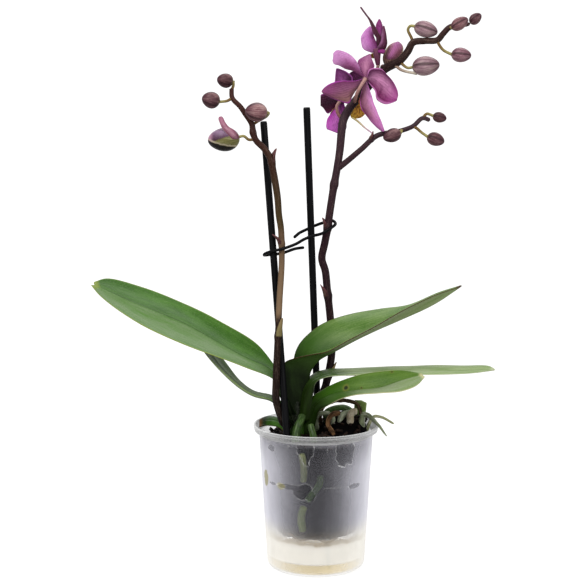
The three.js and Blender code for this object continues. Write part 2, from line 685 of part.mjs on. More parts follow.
// Flowers: each has a small heart with its sepals and petals round it
const BLOOM_BEHIND = [
  {
    left: [[32, 4, 351], [28.5, 8, 361], [24, 10, 366], [19.5, 11, 368.5], [14, 11, 369.5],
      [11.5, 10, 367]],
    mid: [[32.8, 3.5, 350.3], [27, 5, 358.5], [22, 6, 361], [17, 7, 363], [11.5, 8, 364.5]],
    right: [[33.5, 3, 349.5], [25.5, 3, 354.5], [20, 3, 356], [15.5, 4, 358.5], [12, 5, 359.5],
      [11, 6.5, 362]],
  },
  {
    left: [[33, 4, 350], [30, 8, 356.5], [29, 12, 362], [33, 14, 365], [37.5, 15, 367]],
    mid: [[34, 4, 350.3], [34, 8, 355], [35, 11, 360], [36.5, 14, 364], [37.8, 15.5, 367]],
    right: [[35, 4, 350], [38, 8, 355], [41, 11, 358], [39, 14, 364], [38.2, 15, 367]],
  },
  {
    left: [[35, 3.5, 350], [37, 7, 356], [40.5, 8, 357], [45.5, 9, 356.5], [49.5, 10, 352.5],
      [54, 10, 347.5], [57, 9, 341.5], [57.5, 8.5, 337.5]],
    mid: [[35.3, 3, 349], [40, 4, 350], [44.5, 5, 348.5], [49.5, 6, 344.5], [53.5, 6, 339.5],
      [57, 7, 336]],
    right: [[35, 3, 348], [38.5, 2, 343.5], [41, 2, 340], [41.5, 2, 336], [43.5, 3, 333.5],
      [48, 4, 331.5], [53, 5, 332.5], [56.5, 6.5, 334]],
  },
  {
    left: [[34, 3, 350], [27, 2, 348], [17.5, 0, 348], [10.5, -2, 346.5], [5.5, -3, 343.5],
      [3.5, -3.5, 341]],
    mid: [[33.5, 2.5, 348.5], [27.5, 0, 344.5], [19, -2, 341.5], [11, -4, 340], [3.3, -4, 340]],
    right: [[33.5, 2.5, 347], [27.5, 1, 341.5], [25, 1, 337], [22.5, 1, 332], [16.5, 0, 333.5],
      [9, -2, 336.5], [4.5, -3.5, 339]],
  },
  {
    left: [[33.5, 2.5, 348], [31, 0, 339.5], [30, -2, 334], [31, -4, 328.5], [34.5, -5, 323.5],
      [38.5, -6, 318.5], [43.5, -6, 314], [46, -6, 312.5]],
    mid: [[34.2, 2, 348], [33.5, -2, 339], [34.5, -4, 332.5], [37, -6, 326.5], [40.5, -7, 321],
      [44.5, -7, 315.5], [46.8, -6.5, 312.5]],
    right: [[35, 2.5, 348], [37, 0, 341], [39, -2, 336], [40.5, -4, 330.5], [42.5, -5, 325.5],
      [45, -6, 319.5], [47.2, -6, 313]],
  },
];
const BLOOM_SIDE = [
  {
    left: [[18, 24, 336], [11.5, 23, 338.5], [5.5, 22, 339.5], [3, 22, 338.5]],
    mid: [[18, 24, 334], [12, 22, 334], [6.5, 21, 332], [3, 21, 332.5]],
    right: [[18, 24, 332.5], [14, 22, 330], [8.5, 20.5, 325], [5, 20.5, 329], [3, 21, 331]],
  },
  {
    left: [[17, 24, 333], [11.5, 22, 326.5], [8, 20, 321.5], [7, 19, 316.5], [7.5, 19, 314]],
    mid: [[18, 24, 333], [15.5, 21, 324], [13.5, 19, 318], [11.5, 18.5, 312.5]],
    right: [[20, 24, 333], [21.5, 22, 325], [22, 20, 318.5], [21, 19, 313.5], [15.5, 18.5, 311]],
  },
  {
    left: [[17, 24.5, 335], [13.5, 26, 345], [13.5, 27, 350.5], [14, 28, 355], [14.5, 28, 357.5]],
    mid: [[18.5, 24.5, 335], [18.5, 26, 345], [18, 28, 350.5], [16, 29, 355], [14.8, 28.5, 357.3]],
    right: [[20, 24.5, 335], [25.5, 27, 345], [26.5, 28.5, 350.5], [22, 29, 355],
      [15.5, 28.5, 357.5]],
  },
  {
    left: [[19, 25, 336], [22, 28.5, 347], [24, 30.5, 354], [29, 31.5, 356.5]],
    mid: [[19.5, 25.5, 335], [24.5, 29.5, 345], [28, 31.5, 351], [32.5, 32, 355.5]],
    right: [[20, 25, 334], [27, 28.5, 342], [32, 30.5, 347.5], [34.5, 31.5, 353]],
  },
];
const BLOOM_TOP = [
  {
    left: [[43, 13.5, 371], [42, 12, 378], [39.5, 11, 381.5], [38, 10.5, 386], [36, 10, 391],
      [33, 10, 395], [30.2, 10, 399]],
    mid: [[44, 13, 371], [43.5, 11, 378.5], [41.5, 10, 381.5], [39.5, 9.5, 385.5], [37.5, 9.5, 390],
      [34, 9.5, 395], [30.6, 9.8, 399.3]],
    right: [[45, 13.5, 371], [45.5, 12.5, 378.5], [43.5, 11.5, 381.5], [41.5, 11, 385],
      [39, 10.5, 389], [34.5, 10, 394.5], [31, 10, 399.5]],
  },
  {
    left: [[39.5, 14, 367.5], [33.5, 15, 370], [31.5, 16, 374.5], [31.5, 17, 378.5],
      [33.5, 18, 382.5], [36.5, 18, 385.5], [38, 18, 386.5]],
    mid: [[41, 13, 369.5], [37, 13.5, 374.5], [36, 14, 379], [36.5, 15, 382.5], [38.5, 17, 386]],
    right: [[43, 13.5, 371], [42.5, 13.5, 374.5], [41, 14, 378], [40, 15, 381.5], [39, 16, 385]],
  },
  {
    left: [[41.5, 16, 370], [42.5, 20, 381], [42, 21, 386], [42.5, 21, 388.5], [44.3, 21.5, 391.5]],
    mid: [[42.5, 15.5, 370], [45, 19, 381], [45, 20, 386], [44.6, 21, 391.7]],
    right: [[43.5, 16, 370], [46.5, 20, 380.5], [47, 21, 385.5], [46.5, 21.5, 388.5],
      [45, 21.5, 391.5]],
  },
  {
    left: [[42, 13, 370], [44.5, 12.5, 374], [45.5, 12.5, 376.5], [46, 13, 381.5], [46.8, 13, 386.5]],
    mid: [[42.5, 12.5, 369], [46, 10.5, 373], [47.5, 10.5, 378], [47.5, 11.5, 383],
      [47.2, 13, 386.5]],
    right: [[43, 13, 367.5], [47.5, 12, 369], [49.5, 12, 372.5], [49.5, 12.5, 378],
      [47.6, 13, 386.5]],
  },
  {
    left: [[42.5, 13.5, 368], [45.5, 10, 367], [46.8, 10, 366.7]],
    mid: [[42.5, 13, 369], [46, 9, 368.5], [47.6, 9.3, 367.7]],
    right: [[43, 13, 370], [47, 10, 370], [48.4, 10, 369]],
  },
];
const BLOOM_TOP_NECK = [[43.6, 15.5, 359.2], [43, 15, 364], [42.5, 14.5, 371]];
const BLOOM_HALF_OPEN = [
  {
    left: [[49.5, 20, 360.5], [49, 18.5, 366], [50.5, 18.5, 371.5], [53, 19.5, 374],
      [57.5, 21.5, 375.8]],
    mid: [[50.3, 19.5, 360.5], [52, 15.6, 365.5], [55, 16, 370.5], [57, 18.5, 374],
      [58, 21.2, 375.8]],
    right: [[51, 20, 360.5], [56, 18.5, 362.5], [60, 18.5, 366], [61.8, 19.5, 370],
      [61, 20.5, 373.5], [58.5, 21.5, 375.8]],
  },
  {
    left: [[51, 22.5, 360.5], [56, 24.5, 362.5], [60.5, 25, 366], [62, 24, 370], [61, 23, 373.5],
      [58.6, 22.5, 375.6]],
    mid: [[50.3, 23, 360.5], [53, 27.6, 366], [55.5, 27.6, 371], [57.5, 25, 374.5],
      [58, 22.8, 375.8]],
    right: [[49.5, 22.5, 360.5], [49, 24.5, 366], [50.5, 25, 371.5], [53.5, 24, 374.5],
      [57.4, 22.5, 375.6]],
  },
];
const HALF_OPEN_BODY = { base: [50, 21.2, 359.8], tip: [57.6, 21.8, 375.4], width: 10.6 };
const OPENING_BODY = { base: [-54.8, -3, 308], tip: [-76, -6, 306.5], width: 16.4 };
const OPENING_FLAP = {
  left: [[-54.8, -4, 306], [-59, -10.5, 307.5], [-62.5, -11.5, 311], [-66, -10.5, 315.5],
    [-67.5, -9.5, 319], [-68.5, -8.5, 322], [-67.7, -8, 323]],
  mid: [[-54.5, -5, 307], [-57, -11.5, 309.5], [-60, -12.5, 313], [-63.5, -11.5, 316],
    [-65.5, -10.5, 319], [-66.6, -8.5, 323.3]],
  right: [[-54, -4, 308.5], [-55, -9, 311], [-57.5, -11, 314], [-61, -10.5, 316], [-63.5, -9.5, 319],
    [-65, -8.5, 322], [-65.9, -8, 323]],
};

// Lips: a throat, a pointed middle lobe, two side wings and, on the open flower, a long whisker
const LIPS = {
  bloom_behind_lip: {
    neck: [[34.6, 7.2, 345.5], [34.4, 9, 335]],
    lobes: [
      {
        left: [[33, 8.5, 336], [28.5, 9.5, 331], [25.5, 10.5, 327], [24, 11, 324]],
        mid: [[34, 8.5, 335], [32, 8.5, 329], [29, 9.5, 325], [24.4, 11, 322.5]],
        right: [[35, 8.5, 334.5], [36, 9.5, 328], [32, 10.5, 322.5], [25.5, 11, 321.5]],
      },
      {
        left: [[33.5, 9, 336], [31, 12.5, 336.5], [30.3, 15, 334.5]],
        mid: [[33.5, 9, 334.5], [30.8, 12.8, 333.5], [30, 15.5, 332.8]],
        right: [[33.5, 9, 333], [31, 12.5, 331], [30.4, 15.2, 331.5]],
      },
      {
        left: [[35.5, 9, 333], [38.8, 13, 329.5], [38.4, 16.5, 331]],
        mid: [[35.5, 9, 334.5], [39.2, 13, 332.5], [38.8, 16.8, 332.5]],
        right: [[35.5, 9, 336], [38.5, 13, 336], [38.3, 16.5, 334]],
      },
    ],
    whisker: [[25.2, 11, 322.6], [29, 11.5, 320], [34, 11, 315.5], [40, 9.5, 311]],
  },
  bloom_side_lip: {
    neck: [[17.4, 27.4, 334.3], [15.5, 29.8, 329.5]],
    lobes: [
      {
        left: [[14.5, 29, 330.5], [10.5, 32, 325.5], [9.5, 34, 320]],
        mid: [[15.3, 29.5, 329.8], [13, 33, 324.5], [10.3, 34.5, 319.3]],
        right: [[16.5, 29, 329.5], [16, 32, 324], [11.2, 34, 319.5]],
      },
    ],
  },
  bloom_top_lip: {
    neck: [[42, 18.1, 366.5], [40.5, 21.5, 366]],
    lobes: [
      {
        left: [[41.2, 21.5, 367.3], [38.8, 25.5, 367], [37.2, 28.5, 364.5]],
        mid: [[40.4, 21.8, 366], [37.6, 25.8, 365], [36.4, 28.9, 363.6]],
        right: [[39.6, 21.5, 364.7], [36.5, 25, 363.6], [36, 28.4, 363]],
      },
    ],
  },
};

function lip({ neck, lobes, whisker }) {
  const pieces = [stem(line(neck), () => LIP_NECK, 6, 2), heart(neck[1], 2), ...lobes.map(petal)];
  if (whisker) pieces.push(stem(line(whisker), (t) => lerp(0.9, 0.5, t), 5, 6));
  return asGeometry(join(...pieces));
}

// Assembly

const potMesh = add("pot", potGeometry(), "pot");
const rooms = {
  stakeLeft: stem(STAKE_LEFT, () => STAKE_RADIUS + STEM_HOLE_GAP, 12, 2),
  stakeRight: stem(STAKE_RIGHT, () => STAKE_RADIUS + STEM_HOLE_GAP, 12, 2),
  spikeLeft: stem(SPIKE_LEFT, (t) => leftRadius(t) + STEM_HOLE_GAP, 6, 30),
  spikeRight: stem(SPIKE_RIGHT, (t) => rightRadius(t) + STEM_HOLE_GAP, 6, 40),
};

const CORE = line([[-12, 0, 86], [-13, 0, 100], [-15, 0.5, 113], [-14.5, 1.5, 128]]);
const coreRadius = (t) => lerp(7.6, 3.4, t * t);

const surfaces = Object.fromEntries(
  Object.entries(LEAVES).map(([name, rails]) => [name, leafSurface(rails)]),
);
const sheaths = Object.entries(LEAVES).map(([name, { clasp }]) =>
  leafPart(surfaces[name], 0, clasp, SHEATH_STEPS),
);
const crown = cut(
  join(stem(CORE, coreRadius, 10, 4), ...sheaths),
  rooms.stakeLeft,
  rooms.spikeLeft,
  rooms.spikeRight,
);
add("crown", asGeometry(largest(crown)), "leaf");
for (const [name, { clasp }] of Object.entries(LEAVES)) {
  add(name, leafPart(surfaces[name], clasp + SHEATH_GAP, 1, LEAF_STEPS), "leaf");
}
const stub = leafSurface(STUB);
const oldStrip = leafSurface(OLD_STRIP);
add("leaf_stub_cut", leafPart(stub, 0.1, 1, 5), "leafPale");
add("leaf_strip_old", leafPart(oldStrip, 0, 0.97, 5), "leaf");

const soilRooms = [rooms.stakeLeft, rooms.stakeRight];
soilRooms.push(leafPart(stub, 0, 1, 5, STEM_HOLE_GAP));
soilRooms.push(leafPart(oldStrip, 0, 1, 5, STEM_HOLE_GAP));
soilRooms.push(stem(CORE, (t) => coreRadius(t) + STEM_HOLE_GAP, 10, 4));
for (const [name, { finish, radius, path }] of Object.entries(ROOTS)) {
  const curve = line(path);
  add(name, stem(curve, radius, 6, ROOT_STEPS), finish);
  soilRooms.push(stem(curve, (t) => radius(t) + STEM_HOLE_GAP, 6, ROOT_STEPS));
}
for (const [name, root] of Object.entries(WALL_ROOTS)) {
  const curve = line(wallRoot(root));
  const taper = (t) => root.radius * (1 - 0.6 * Math.abs(2 * t - 1) ** 4);
  add(name, stem(curve, taper, 6, ROOT_STEPS), "wetRoot");
  soilRooms.push(stem(curve, (t) => taper(t) + STEM_HOLE_GAP, 6, ROOT_STEPS));
}
add("substrate", asGeometry(cut(solid(substrateGeometry()), ...soilRooms)), "bark");
add("water", asGeometry(cut(solid(waterGeometry()), ...soilRooms)), "water");
add("stake_left", stem(STAKE_LEFT, () => STAKE_RADIUS, 12, 2), "stake");
add("stake_right", stem(STAKE_RIGHT, () => STAKE_RADIUS, 12, 2), "stake");
add("tie", stem(TIE, () => TIE_RADIUS, 6, 44), "stake");
add("spike_left", asGeometry(spikeLeft()), "spike");
add("spike_right", asGeometry(spikeRight()), "spike");

for (const [name, shape] of Object.entries(BUDS)) add(name, budBody(shape), "bud");
const openingBud = [budBody(OPENING_BODY), petal(OPENING_FLAP)];
add("bud_opening", asGeometry(join(...openingBud)), "bud");
const flowers = {
  bloom_behind: [heart([34, 2.8, 349], 2.2), ...BLOOM_BEHIND.map(petal)],
  bloom_side: [heart([18.5, 24, 334.5], 2.4), ...BLOOM_SIDE.map(petal)],
  bloom_top: [stem(line(BLOOM_TOP_NECK), (t) => lerp(1.5, 3.4, t), 7, 3), ...BLOOM_TOP.map(petal)],
  bloom_half_open: [budBody(HALF_OPEN_BODY), ...BLOOM_HALF_OPEN.map(petal)],
};
for (const [name, pieces] of Object.entries(flowers)) {
  add(name, asGeometry(join(...pieces)), "bloom");
}
for (const [name, shape] of Object.entries(LIPS)) add(name, lip(shape), "lip");

export default plant;
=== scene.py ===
# %% [markdown]
# # A moth orchid in its clear nursery pot
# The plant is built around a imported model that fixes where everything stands.
# Each step first says what the piece is on a real orchid, how it could be made,
# and why it is made this way. All lengths in the tables are millimetres.

# %% Load the fixed frame
import functools
import math
import random

import bmesh
import bpy
from mathutils import Euler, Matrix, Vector, noise


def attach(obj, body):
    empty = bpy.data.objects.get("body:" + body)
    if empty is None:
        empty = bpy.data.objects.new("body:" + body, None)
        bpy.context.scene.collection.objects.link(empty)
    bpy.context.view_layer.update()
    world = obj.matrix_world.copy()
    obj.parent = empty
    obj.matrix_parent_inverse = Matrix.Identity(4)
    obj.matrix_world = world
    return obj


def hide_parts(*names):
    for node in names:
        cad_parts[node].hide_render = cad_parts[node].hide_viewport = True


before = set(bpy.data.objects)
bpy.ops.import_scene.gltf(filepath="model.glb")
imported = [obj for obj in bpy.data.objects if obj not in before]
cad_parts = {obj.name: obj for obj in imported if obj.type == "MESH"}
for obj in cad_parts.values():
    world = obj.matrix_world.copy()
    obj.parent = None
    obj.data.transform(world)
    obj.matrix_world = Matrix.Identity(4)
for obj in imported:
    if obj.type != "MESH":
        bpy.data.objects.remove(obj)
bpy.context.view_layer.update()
print("nodes in the frame:", len(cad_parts))

# %% [markdown]
# The view is worked out from the pot's rim and base as they stand in the picture:
# a metre away, a little above the leaves, looking down by about seven degrees.
# The camera is made first, so that every piece can be judged through it.

# %% Place the camera
MM = 0.001
LENS = 87.4
SENSOR = 36
VIEW_FROM = (-0.0173, -1.0, 0.326)
TILT = 82.78

camera = bpy.data.objects.new("view_camera", bpy.data.cameras.new("view_camera"))
camera.data.lens = LENS
camera.data.sensor_width = SENSOR
camera.location = VIEW_FROM
camera.rotation_euler = (math.radians(TILT), 0, 0)
bpy.context.collection.objects.link(camera)
bpy.context.scene.camera = camera
print("camera looks down by", round(90 - TILT, 2), "degrees")

# %% [markdown]
# Shader maths reads best as plain sums. A field wraps the output of one node and
# knows how to add, take away, multiply and divide, so that a mask can be written
# as 1 - spots. One method makes every other node: it sets what kind of node it is,
# then fills its sockets with numbers or with other fields.

# %% A field of numbers over a surface
class Field:
    def __init__(self, finish, socket):
        self.finish = finish
        self.socket = socket

    def sum(self, operation, first, second):
        return self.finish.node("ShaderNodeMath", {"operation": operation}, {0: first, 1: second})

    def __add__(self, other):
        return self.sum("ADD", self, other)

    def __radd__(self, other):
        return self.sum("ADD", other, self)

    def __sub__(self, other):
        return self.sum("SUBTRACT", self, other)

    def __rsub__(self, other):
        return self.sum("SUBTRACT", other, self)

    def __mul__(self, other):
        return self.sum("MULTIPLY", self, other)

    def __rmul__(self, other):
        return self.sum("MULTIPLY", other, self)

    def __truediv__(self, other):
        return self.sum("DIVIDE", self, other)

    def __pow__(self, other):
        return self.sum("POWER", self, other)

    def wave(self):
        return self.sum("SINE", self, 0)

    def size(self):
        return self.sum("ABSOLUTE", self, 0)

    def least(self, other):
        return self.sum("MINIMUM", self, other)

    def rise(self, low, high):
        """0 below low, 1 above high, smooth between; low may be the larger."""
        up = {"Value": self, "From Min": min(low, high), "From Max": max(low, high)}
        step = self.finish.node("ShaderNodeMapRange", {"interpolation_type": "SMOOTHSTEP"}, up)
        return step if low < high else 1 - step

    def band(self, low, full_from, full_to, high):
        """1 in the middle of a band, smooth to 0 at its low and high ends."""
        return self.rise(low, full_from) * self.rise(high, full_to)


# %% [markdown]
# Colours are written as the picture shows them, in screen codes such as 4f7f37. The
# lamps over the plant are several times brighter than the paper round it, so a
# surface has to be darker than it looks by that factor. One function sees to it.

# %% One finish, with the method that makes its nodes
TENT_LIGHT = 3.0


def colour(code):
    """The linear colour of a surface that looks like this screen code in the tent."""
    parts = [int(code[i : i + 2], 16) / 255 for i in (0, 2, 4)]
    linear = [p / 12.92 if p <= 0.04045 else ((p + 0.055) / 1.055) ** 2.4 for p in parts]
    return [p / TENT_LIGHT for p in linear] + [1]


class Finish:
    def __init__(self, name, **constants):
        self.material = bpy.data.materials.new(name)
        self.material.use_nodes = True
        self.tree = self.material.node_tree
        self.shader = self.tree.nodes["Principled BSDF"]
        for key, value in constants.items():
            self.shader.inputs[key.replace("_", " ")].default_value = value

    def node(self, kind, settings, inputs, output=0):
        made = self.tree.nodes.new(kind)
        for key, value in settings.items():
            if key == "stops":
                stops = made.color_ramp.elements
                while len(stops) < len(value):
                    stops.new(1)
                for stop, (at, code) in zip(stops, value):
                    stop.position = at
                    stop.color = colour(code)
            else:
                setattr(made, key, value)
        for key, value in inputs.items():
            if isinstance(value, Field):
                self.tree.links.new(value.socket, made.inputs[key])
            else:
                made.inputs[key].default_value = value
        return Field(self, made.outputs[output])

    def feed(self, key, field):
        self.tree.links.new(field.socket, self.shader.inputs[key])

    def fed(self, key):
        """The field that already feeds a socket of the shader."""
        return Field(self, self.shader.inputs[key].links[0].from_socket)

    def where(self):
        """The place on the part, in millimetres."""
        metres = self.node("ShaderNodeTexCoord", {}, {}, "Object")
        return self.node("ShaderNodeVectorMath", {"operation": "SCALE"}, {0: metres, "Scale": 1000})

    def carried(self, name):
        """A vector that the mesh itself carries: flow or share."""
        return self.node("ShaderNodeAttribute", {"attribute_name": name}, {}, "Vector")

    def axis(self, vector, name):
        return self.node("ShaderNodeSeparateXYZ", {}, {0: vector}, name)

    def axes(self, vector):
        return (self.axis(vector, name) for name in "XYZ")

    def stretch(self, vector, scale):
        return self.node("ShaderNodeVectorMath", {"operation": "MULTIPLY"}, {0: vector, 1: scale})

    def grain(self, vector, size, detail=3, rough=0.55):
        inputs = {"Vector": vector, "Scale": 1 / size, "Detail": detail, "Roughness": rough}
        return self.node("ShaderNodeTexNoise", {}, inputs)

    def streaks(self, vector, size, shrink, detail=3, rough=0.55):
        """Grain drawn out along the third axis, the longer the smaller shrink is."""
        return self.grain(self.stretch(vector, (1, 1, shrink)), size, detail, rough)

    def cells(self, vector, size):
        return self.node("ShaderNodeTexVoronoi", {}, {"Vector": vector, "Scale": 1 / size})

    def ramp(self, field, *stops):
        return self.node("ShaderNodeValToRGB", {"stops": stops}, {0: field})

    def mix(self, first, second, share):
        """Two colours, each a code, four numbers or a field, mixed by a share."""
        first, second = (colour(c) if isinstance(c, str) else c for c in (first, second))
        return self.node("ShaderNodeMix", {"data_type": "RGBA"}, {0: share, 6: first, 7: second}, 2)

    def bump(self, height, depth):
        """A fine relief: the height runs from 0 to 1, the depth is in millimetres."""
        inputs = {"Height": height, "Distance": depth * MM, "Strength": 1.0}
        self.feed("Normal", self.node("ShaderNodeBump", {}, inputs))


print("field and finish are ready")

# %% [markdown]
# The stage is a pale floor that curves up into a wall, so no edge shows behind the
# plant. A real light tent is white paper lit from behind, which wraps the subject in
# even light. Here a glowing floor and a white world do that, and three wide soft
# lamps add a direction to it. The plain view transform keeps white paper white.

# %% Floor, sweep and light
FLOOR_HALF = 3.5
WALL_AT = 1.2
SWEEP = 0.7


def stage_sweep():
    bm = bmesh.new()
    bmesh.ops.create_grid(bm, x_segments=2, y_segments=96, size=FLOOR_HALF)
    for vert in bm.verts:
        past = vert.co.y - WALL_AT
        if past > 0:
            turn = min(past / SWEEP, math.pi / 2)
            vert.co.y = WALL_AT + SWEEP * math.sin(turn)
            vert.co.z = SWEEP * (1 - math.cos(turn)) + max(0, past - SWEEP * math.pi / 2)
    data = bpy.data.meshes.new("floor")
    bm.to_mesh(data)
    bm.free()
    data.polygons.foreach_set("use_smooth", [True] * len(data.polygons))
    return data


WHITE = (1, 1, 1, 1)
PAPER_GLOW = 0.85
paper = Finish(
    "stage_paper", Roughness=0.9, Specular_IOR_Level=0.0, Emission_Color=WHITE, Emission_Strength=PAPER_GLOW
)
paper.feed("Base Color", paper.mix("b0b0b0", "b8b8b8", paper.grain(paper.where(), 260)))
floor = bpy.data.objects.new("floor", stage_sweep())
floor.data.materials.append(paper.material)
bpy.context.collection.objects.link(floor)

world = bpy.data.worlds.new("light_tent")
world.use_nodes = True
sky = world.node_tree.nodes["Background"].inputs
sky["Color"].default_value = WHITE
sky["Strength"].default_value = 1.0
bpy.context.scene.world = world
bpy.context.scene.view_settings.view_transform = "Standard"
print("the floor glows at", PAPER_GLOW, "under a white world")

# %% Three soft lamps
# Each lamp: where it stands and its two sides, in metres, and its power in watts.
LAMPS = {
    "lamp_key": ((-0.7, -0.9, 1.5), (0.8, 0.8), 44),
    "lamp_fill": ((0.9, -1.2, 0.9), (1.0, 1.0), 22),
    "lamp_back": ((0.2, 0.9, 1.7), (1.4, 0.8), 20),
}
AIM = Vector((0, 0, 0.2))
for name, (place, size, power) in LAMPS.items():
    lamp = bpy.data.objects.new(name, bpy.data.lights.new(name, "AREA"))
    lamp.data.shape = "RECTANGLE"
    lamp.data.size, lamp.data.size_y = size
    lamp.data.energy = power
    lamp.location = place
    lamp.rotation_euler = (AIM - Vector(place)).to_track_quat("-Z", "Y").to_euler()
    bpy.context.collection.objects.link(lamp)
print("lamps:", len(LAMPS))

# %% [markdown]
# Stems, roots and leaf edges all follow smooth lines through a few measured points.
# Blender's own curves could draw them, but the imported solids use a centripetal
# spline, so the same spline is walked here in short straight steps: the fine pieces
# then lie where the plain solids are.

# %% A smooth line through points
class Rail:
    STEPS = 20  # straight steps between two points
    NEAR = 0.002  # how far each way a heading looks, as a share of the length

    def __init__(self, points):
        knots = [Vector(p) * MM for p in points]
        knots = [2 * knots[0] - knots[1], *knots, 2 * knots[-1] - knots[-2]]
        self.places = [knots[1]]
        for a, b, c, d in zip(knots, knots[1:], knots[2:], knots[3:]):
            before, span, after = (math.sqrt((q - p).length) for p, q in ((a, b), (b, c), (c, d)))
            leave = (b - a) / before - (c - a) / (before + span) + (c - b) / span
            reach = (c - b) / span - (d - b) / (span + after) + (d - c) / after
            for step in range(1, self.STEPS + 1):
                t = step / self.STEPS
                place = b * (2 * t**3 - 3 * t**2 + 1) + c * (3 * t**2 - 2 * t**3)
                place += leave * span * (t**3 - 2 * t**2 + t) + reach * span * (t**3 - t**2)
                self.places.append(place)
        self.marks = [0.0]
        for a, b in zip(self.places, self.places[1:]):
            self.marks.append(self.marks[-1] + (b - a).length)
        self.length = self.marks[-1]

    def at(self, share):
        """The place at a share of the length, past the ends along the last stretch."""
        mark = share * self.length
        low, high = 0, len(self.marks) - 1
        while high - low > 1:
            middle = (low + high) // 2
            low, high = (middle, high) if self.marks[middle] <= mark else (low, middle)
        a, b = self.places[low], self.places[high]
        return a.lerp(b, (mark - self.marks[low]) / (self.marks[high] - self.marks[low]))

    def heading(self, share):
        ahead, behind = min(1, share + self.NEAR), max(0, share - self.NEAR)
        return (self.at(ahead) - self.at(behind)).normalized()

    def stations(self, steps):
        """Places along the line, each with two directions across it that never twist."""
        heading = self.heading(0)
        side = heading.orthogonal().normalized()
        made = []
        for step in range(steps + 1):
            ahead = self.heading(step / steps)
            side = (heading.rotation_difference(ahead) @ side).normalized()
            heading = ahead
            made.append((self.at(step / steps), side, heading.cross(side)))
        return made


print("rail test, mm:", round(Rail([(0, 0, 0), (0, 0, 10), (0, 5, 20)]).length / MM, 2))

# %% [markdown]
# A piece gathers one or more closed shapes in one mesh. Round stems start as a
# cylinder that is cut along its length and bent onto a rail. Leaves and petals
# start as a grid that is laid on a surface and extruded into a thin closed sheet.
# Each point also carries two vectors for the materials: flow, its place along and
# across the shape in millimetres, and share, which is how far along it lies, from 0
# to 1, and how far across or round, from -1 to 1. On a sheet, share also tells the
# back, 1, from the front, 0.

# %% A piece that shapes are added to
class Piece:
    BALL_FLOW = 5  # a ball's radius as its flow has it, in millimetres

    def __init__(self, name, *finishes):
        self.name = name
        self.finishes = finishes
        self.mesh = bmesh.new()
        self.flow = self.mesh.verts.layers.float_vector.new("flow")
        self.share = self.mesh.verts.layers.float_vector.new("share")
        self.seen = self.mesh.verts.layers.int.new("seen")

    def unseen(self):
        return [v for v in self.mesh.verts if not v[self.seen]]

    def fresh(self):
        """The points made since the last call."""
        made = self.unseen()
        for vert in made:
            vert[self.seen] = 1
        return made

    def dress(self, verts, finish):
        for face in {f for v in verts for f in v.link_faces}:
            face.material_index = finish
            face.smooth = True

    def stem(self, rail, radius, finish=0, sides=14, steps=60):
        """A closed round stem: radius takes the share along and the angle round it."""
        bmesh.ops.create_cone(
            self.mesh, cap_ends=True, segments=sides, radius1=1, radius2=1, depth=1
        )
        edges = {e for v in self.unseen() for e in v.link_edges}
        upright = [e for e in edges if abs(e.verts[0].co.z - e.verts[1].co.z) > 0.5]
        bmesh.ops.subdivide_edges(self.mesh, edges=upright, cuts=steps - 1)
        made = self.fresh()
        stations = rail.stations(steps)
        for vert in made:
            step = round((vert.co.z + 0.5) * steps)
            angle = math.atan2(vert.co.y, vert.co.x)
            place, side, across = stations[step]
            reach = radius(step / steps, angle)
            vert.co = place + (side * math.cos(angle) + across * math.sin(angle)) * reach * MM
            around = Vector((math.cos(angle), math.sin(angle), 0)) * reach
            vert[self.flow] = around + Vector((0, 0, step / steps * rail.length / MM))
            vert[self.share] = (step / steps, angle / math.pi, 0)
        self.dress(made, finish)

    def sheet(self, surface, thickness, long, across, finish=0, size=(1, 1), front=(0, -1, 0)):
        """A thin closed sheet: surface(t, s) is its middle, thickness(t, s) in millimetres."""
        def key(vert):
            t, s, _ = vert[self.share]
            return round(t * long), round(s * across)

        bmesh.ops.create_grid(self.mesh, x_segments=across, y_segments=long, size=1)
        top = self.fresh()
        for vert in top:
            t, s = (vert.co.y + 1) / 2, vert.co.x
            vert[self.share] = (t, s, 0)
            vert[self.flow] = (s * size[0], 0, t * size[1])
            vert.co = surface(t, s)
        faces = list({f for v in top for f in v.link_faces})
        for face in faces:
            face.normal_update()
        facing = sum((f.normal * f.calc_area() for f in faces), Vector()).dot(Vector(front))
        shift = {}
        for vert in top:
            vert.normal_update()
            t, s, _ = vert[self.share]
            shift[key(vert)] = vert.normal * thickness(t, s) * MM / 2
        copied = bmesh.ops.extrude_face_region(self.mesh, geom=faces, use_keep_orig=True)["geom"]
        low = [v for v in copied if isinstance(v, bmesh.types.BMVert)]
        for verts, sign in ((top, 1), (low, -1)):
            for vert in verts:
                t, s, _ = vert[self.share]
                vert.co += shift[key(vert)] * sign
                vert[self.share] = (t, s, 0 if sign * facing > 0 else 1)
        self.dress(top + low, finish)

    def ball(self, shape, finish=0, rings=18, sides=28):
        """A closed round body: shape turns a point of the unit ball into its place."""
        bmesh.ops.create_uvsphere(self.mesh, u_segments=sides, v_segments=rings, radius=1)
        made = self.fresh()
        for vert in made:
            unit = vert.co.copy()
            angle = math.atan2(unit.y, unit.x)
            vert[self.share] = ((unit.z + 1) / 2, angle / math.pi, 0)
            vert[self.flow] = Vector((math.cos(angle), math.sin(angle), unit.z + 1)) * self.BALL_FLOW
            vert.co = shape(unit)
        self.dress(made, finish)

    def done(self, nodes, slot, smoother=0):
        """The piece's object, set on the part in place of the named nodes."""
        bmesh.ops.recalc_face_normals(self.mesh, faces=self.mesh.faces[:])
        self.mesh.verts.layers.int.remove(self.seen)
        data = bpy.data.meshes.new(self.name)
        self.mesh.to_mesh(data)
        self.mesh.free()
        for finish in self.finishes:
            data.materials.append(finish.material)
        made = bpy.data.objects.new(self.name, data)
        bpy.context.collection.objects.link(made)
        if smoother:
            rounder = made.modifiers.new("rounder", "SUBSURF")
            rounder.levels = rounder.render_levels = smoother
        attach(made, "root")
        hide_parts(*nodes)
        return made


print("a piece can take stems, sheets and balls")

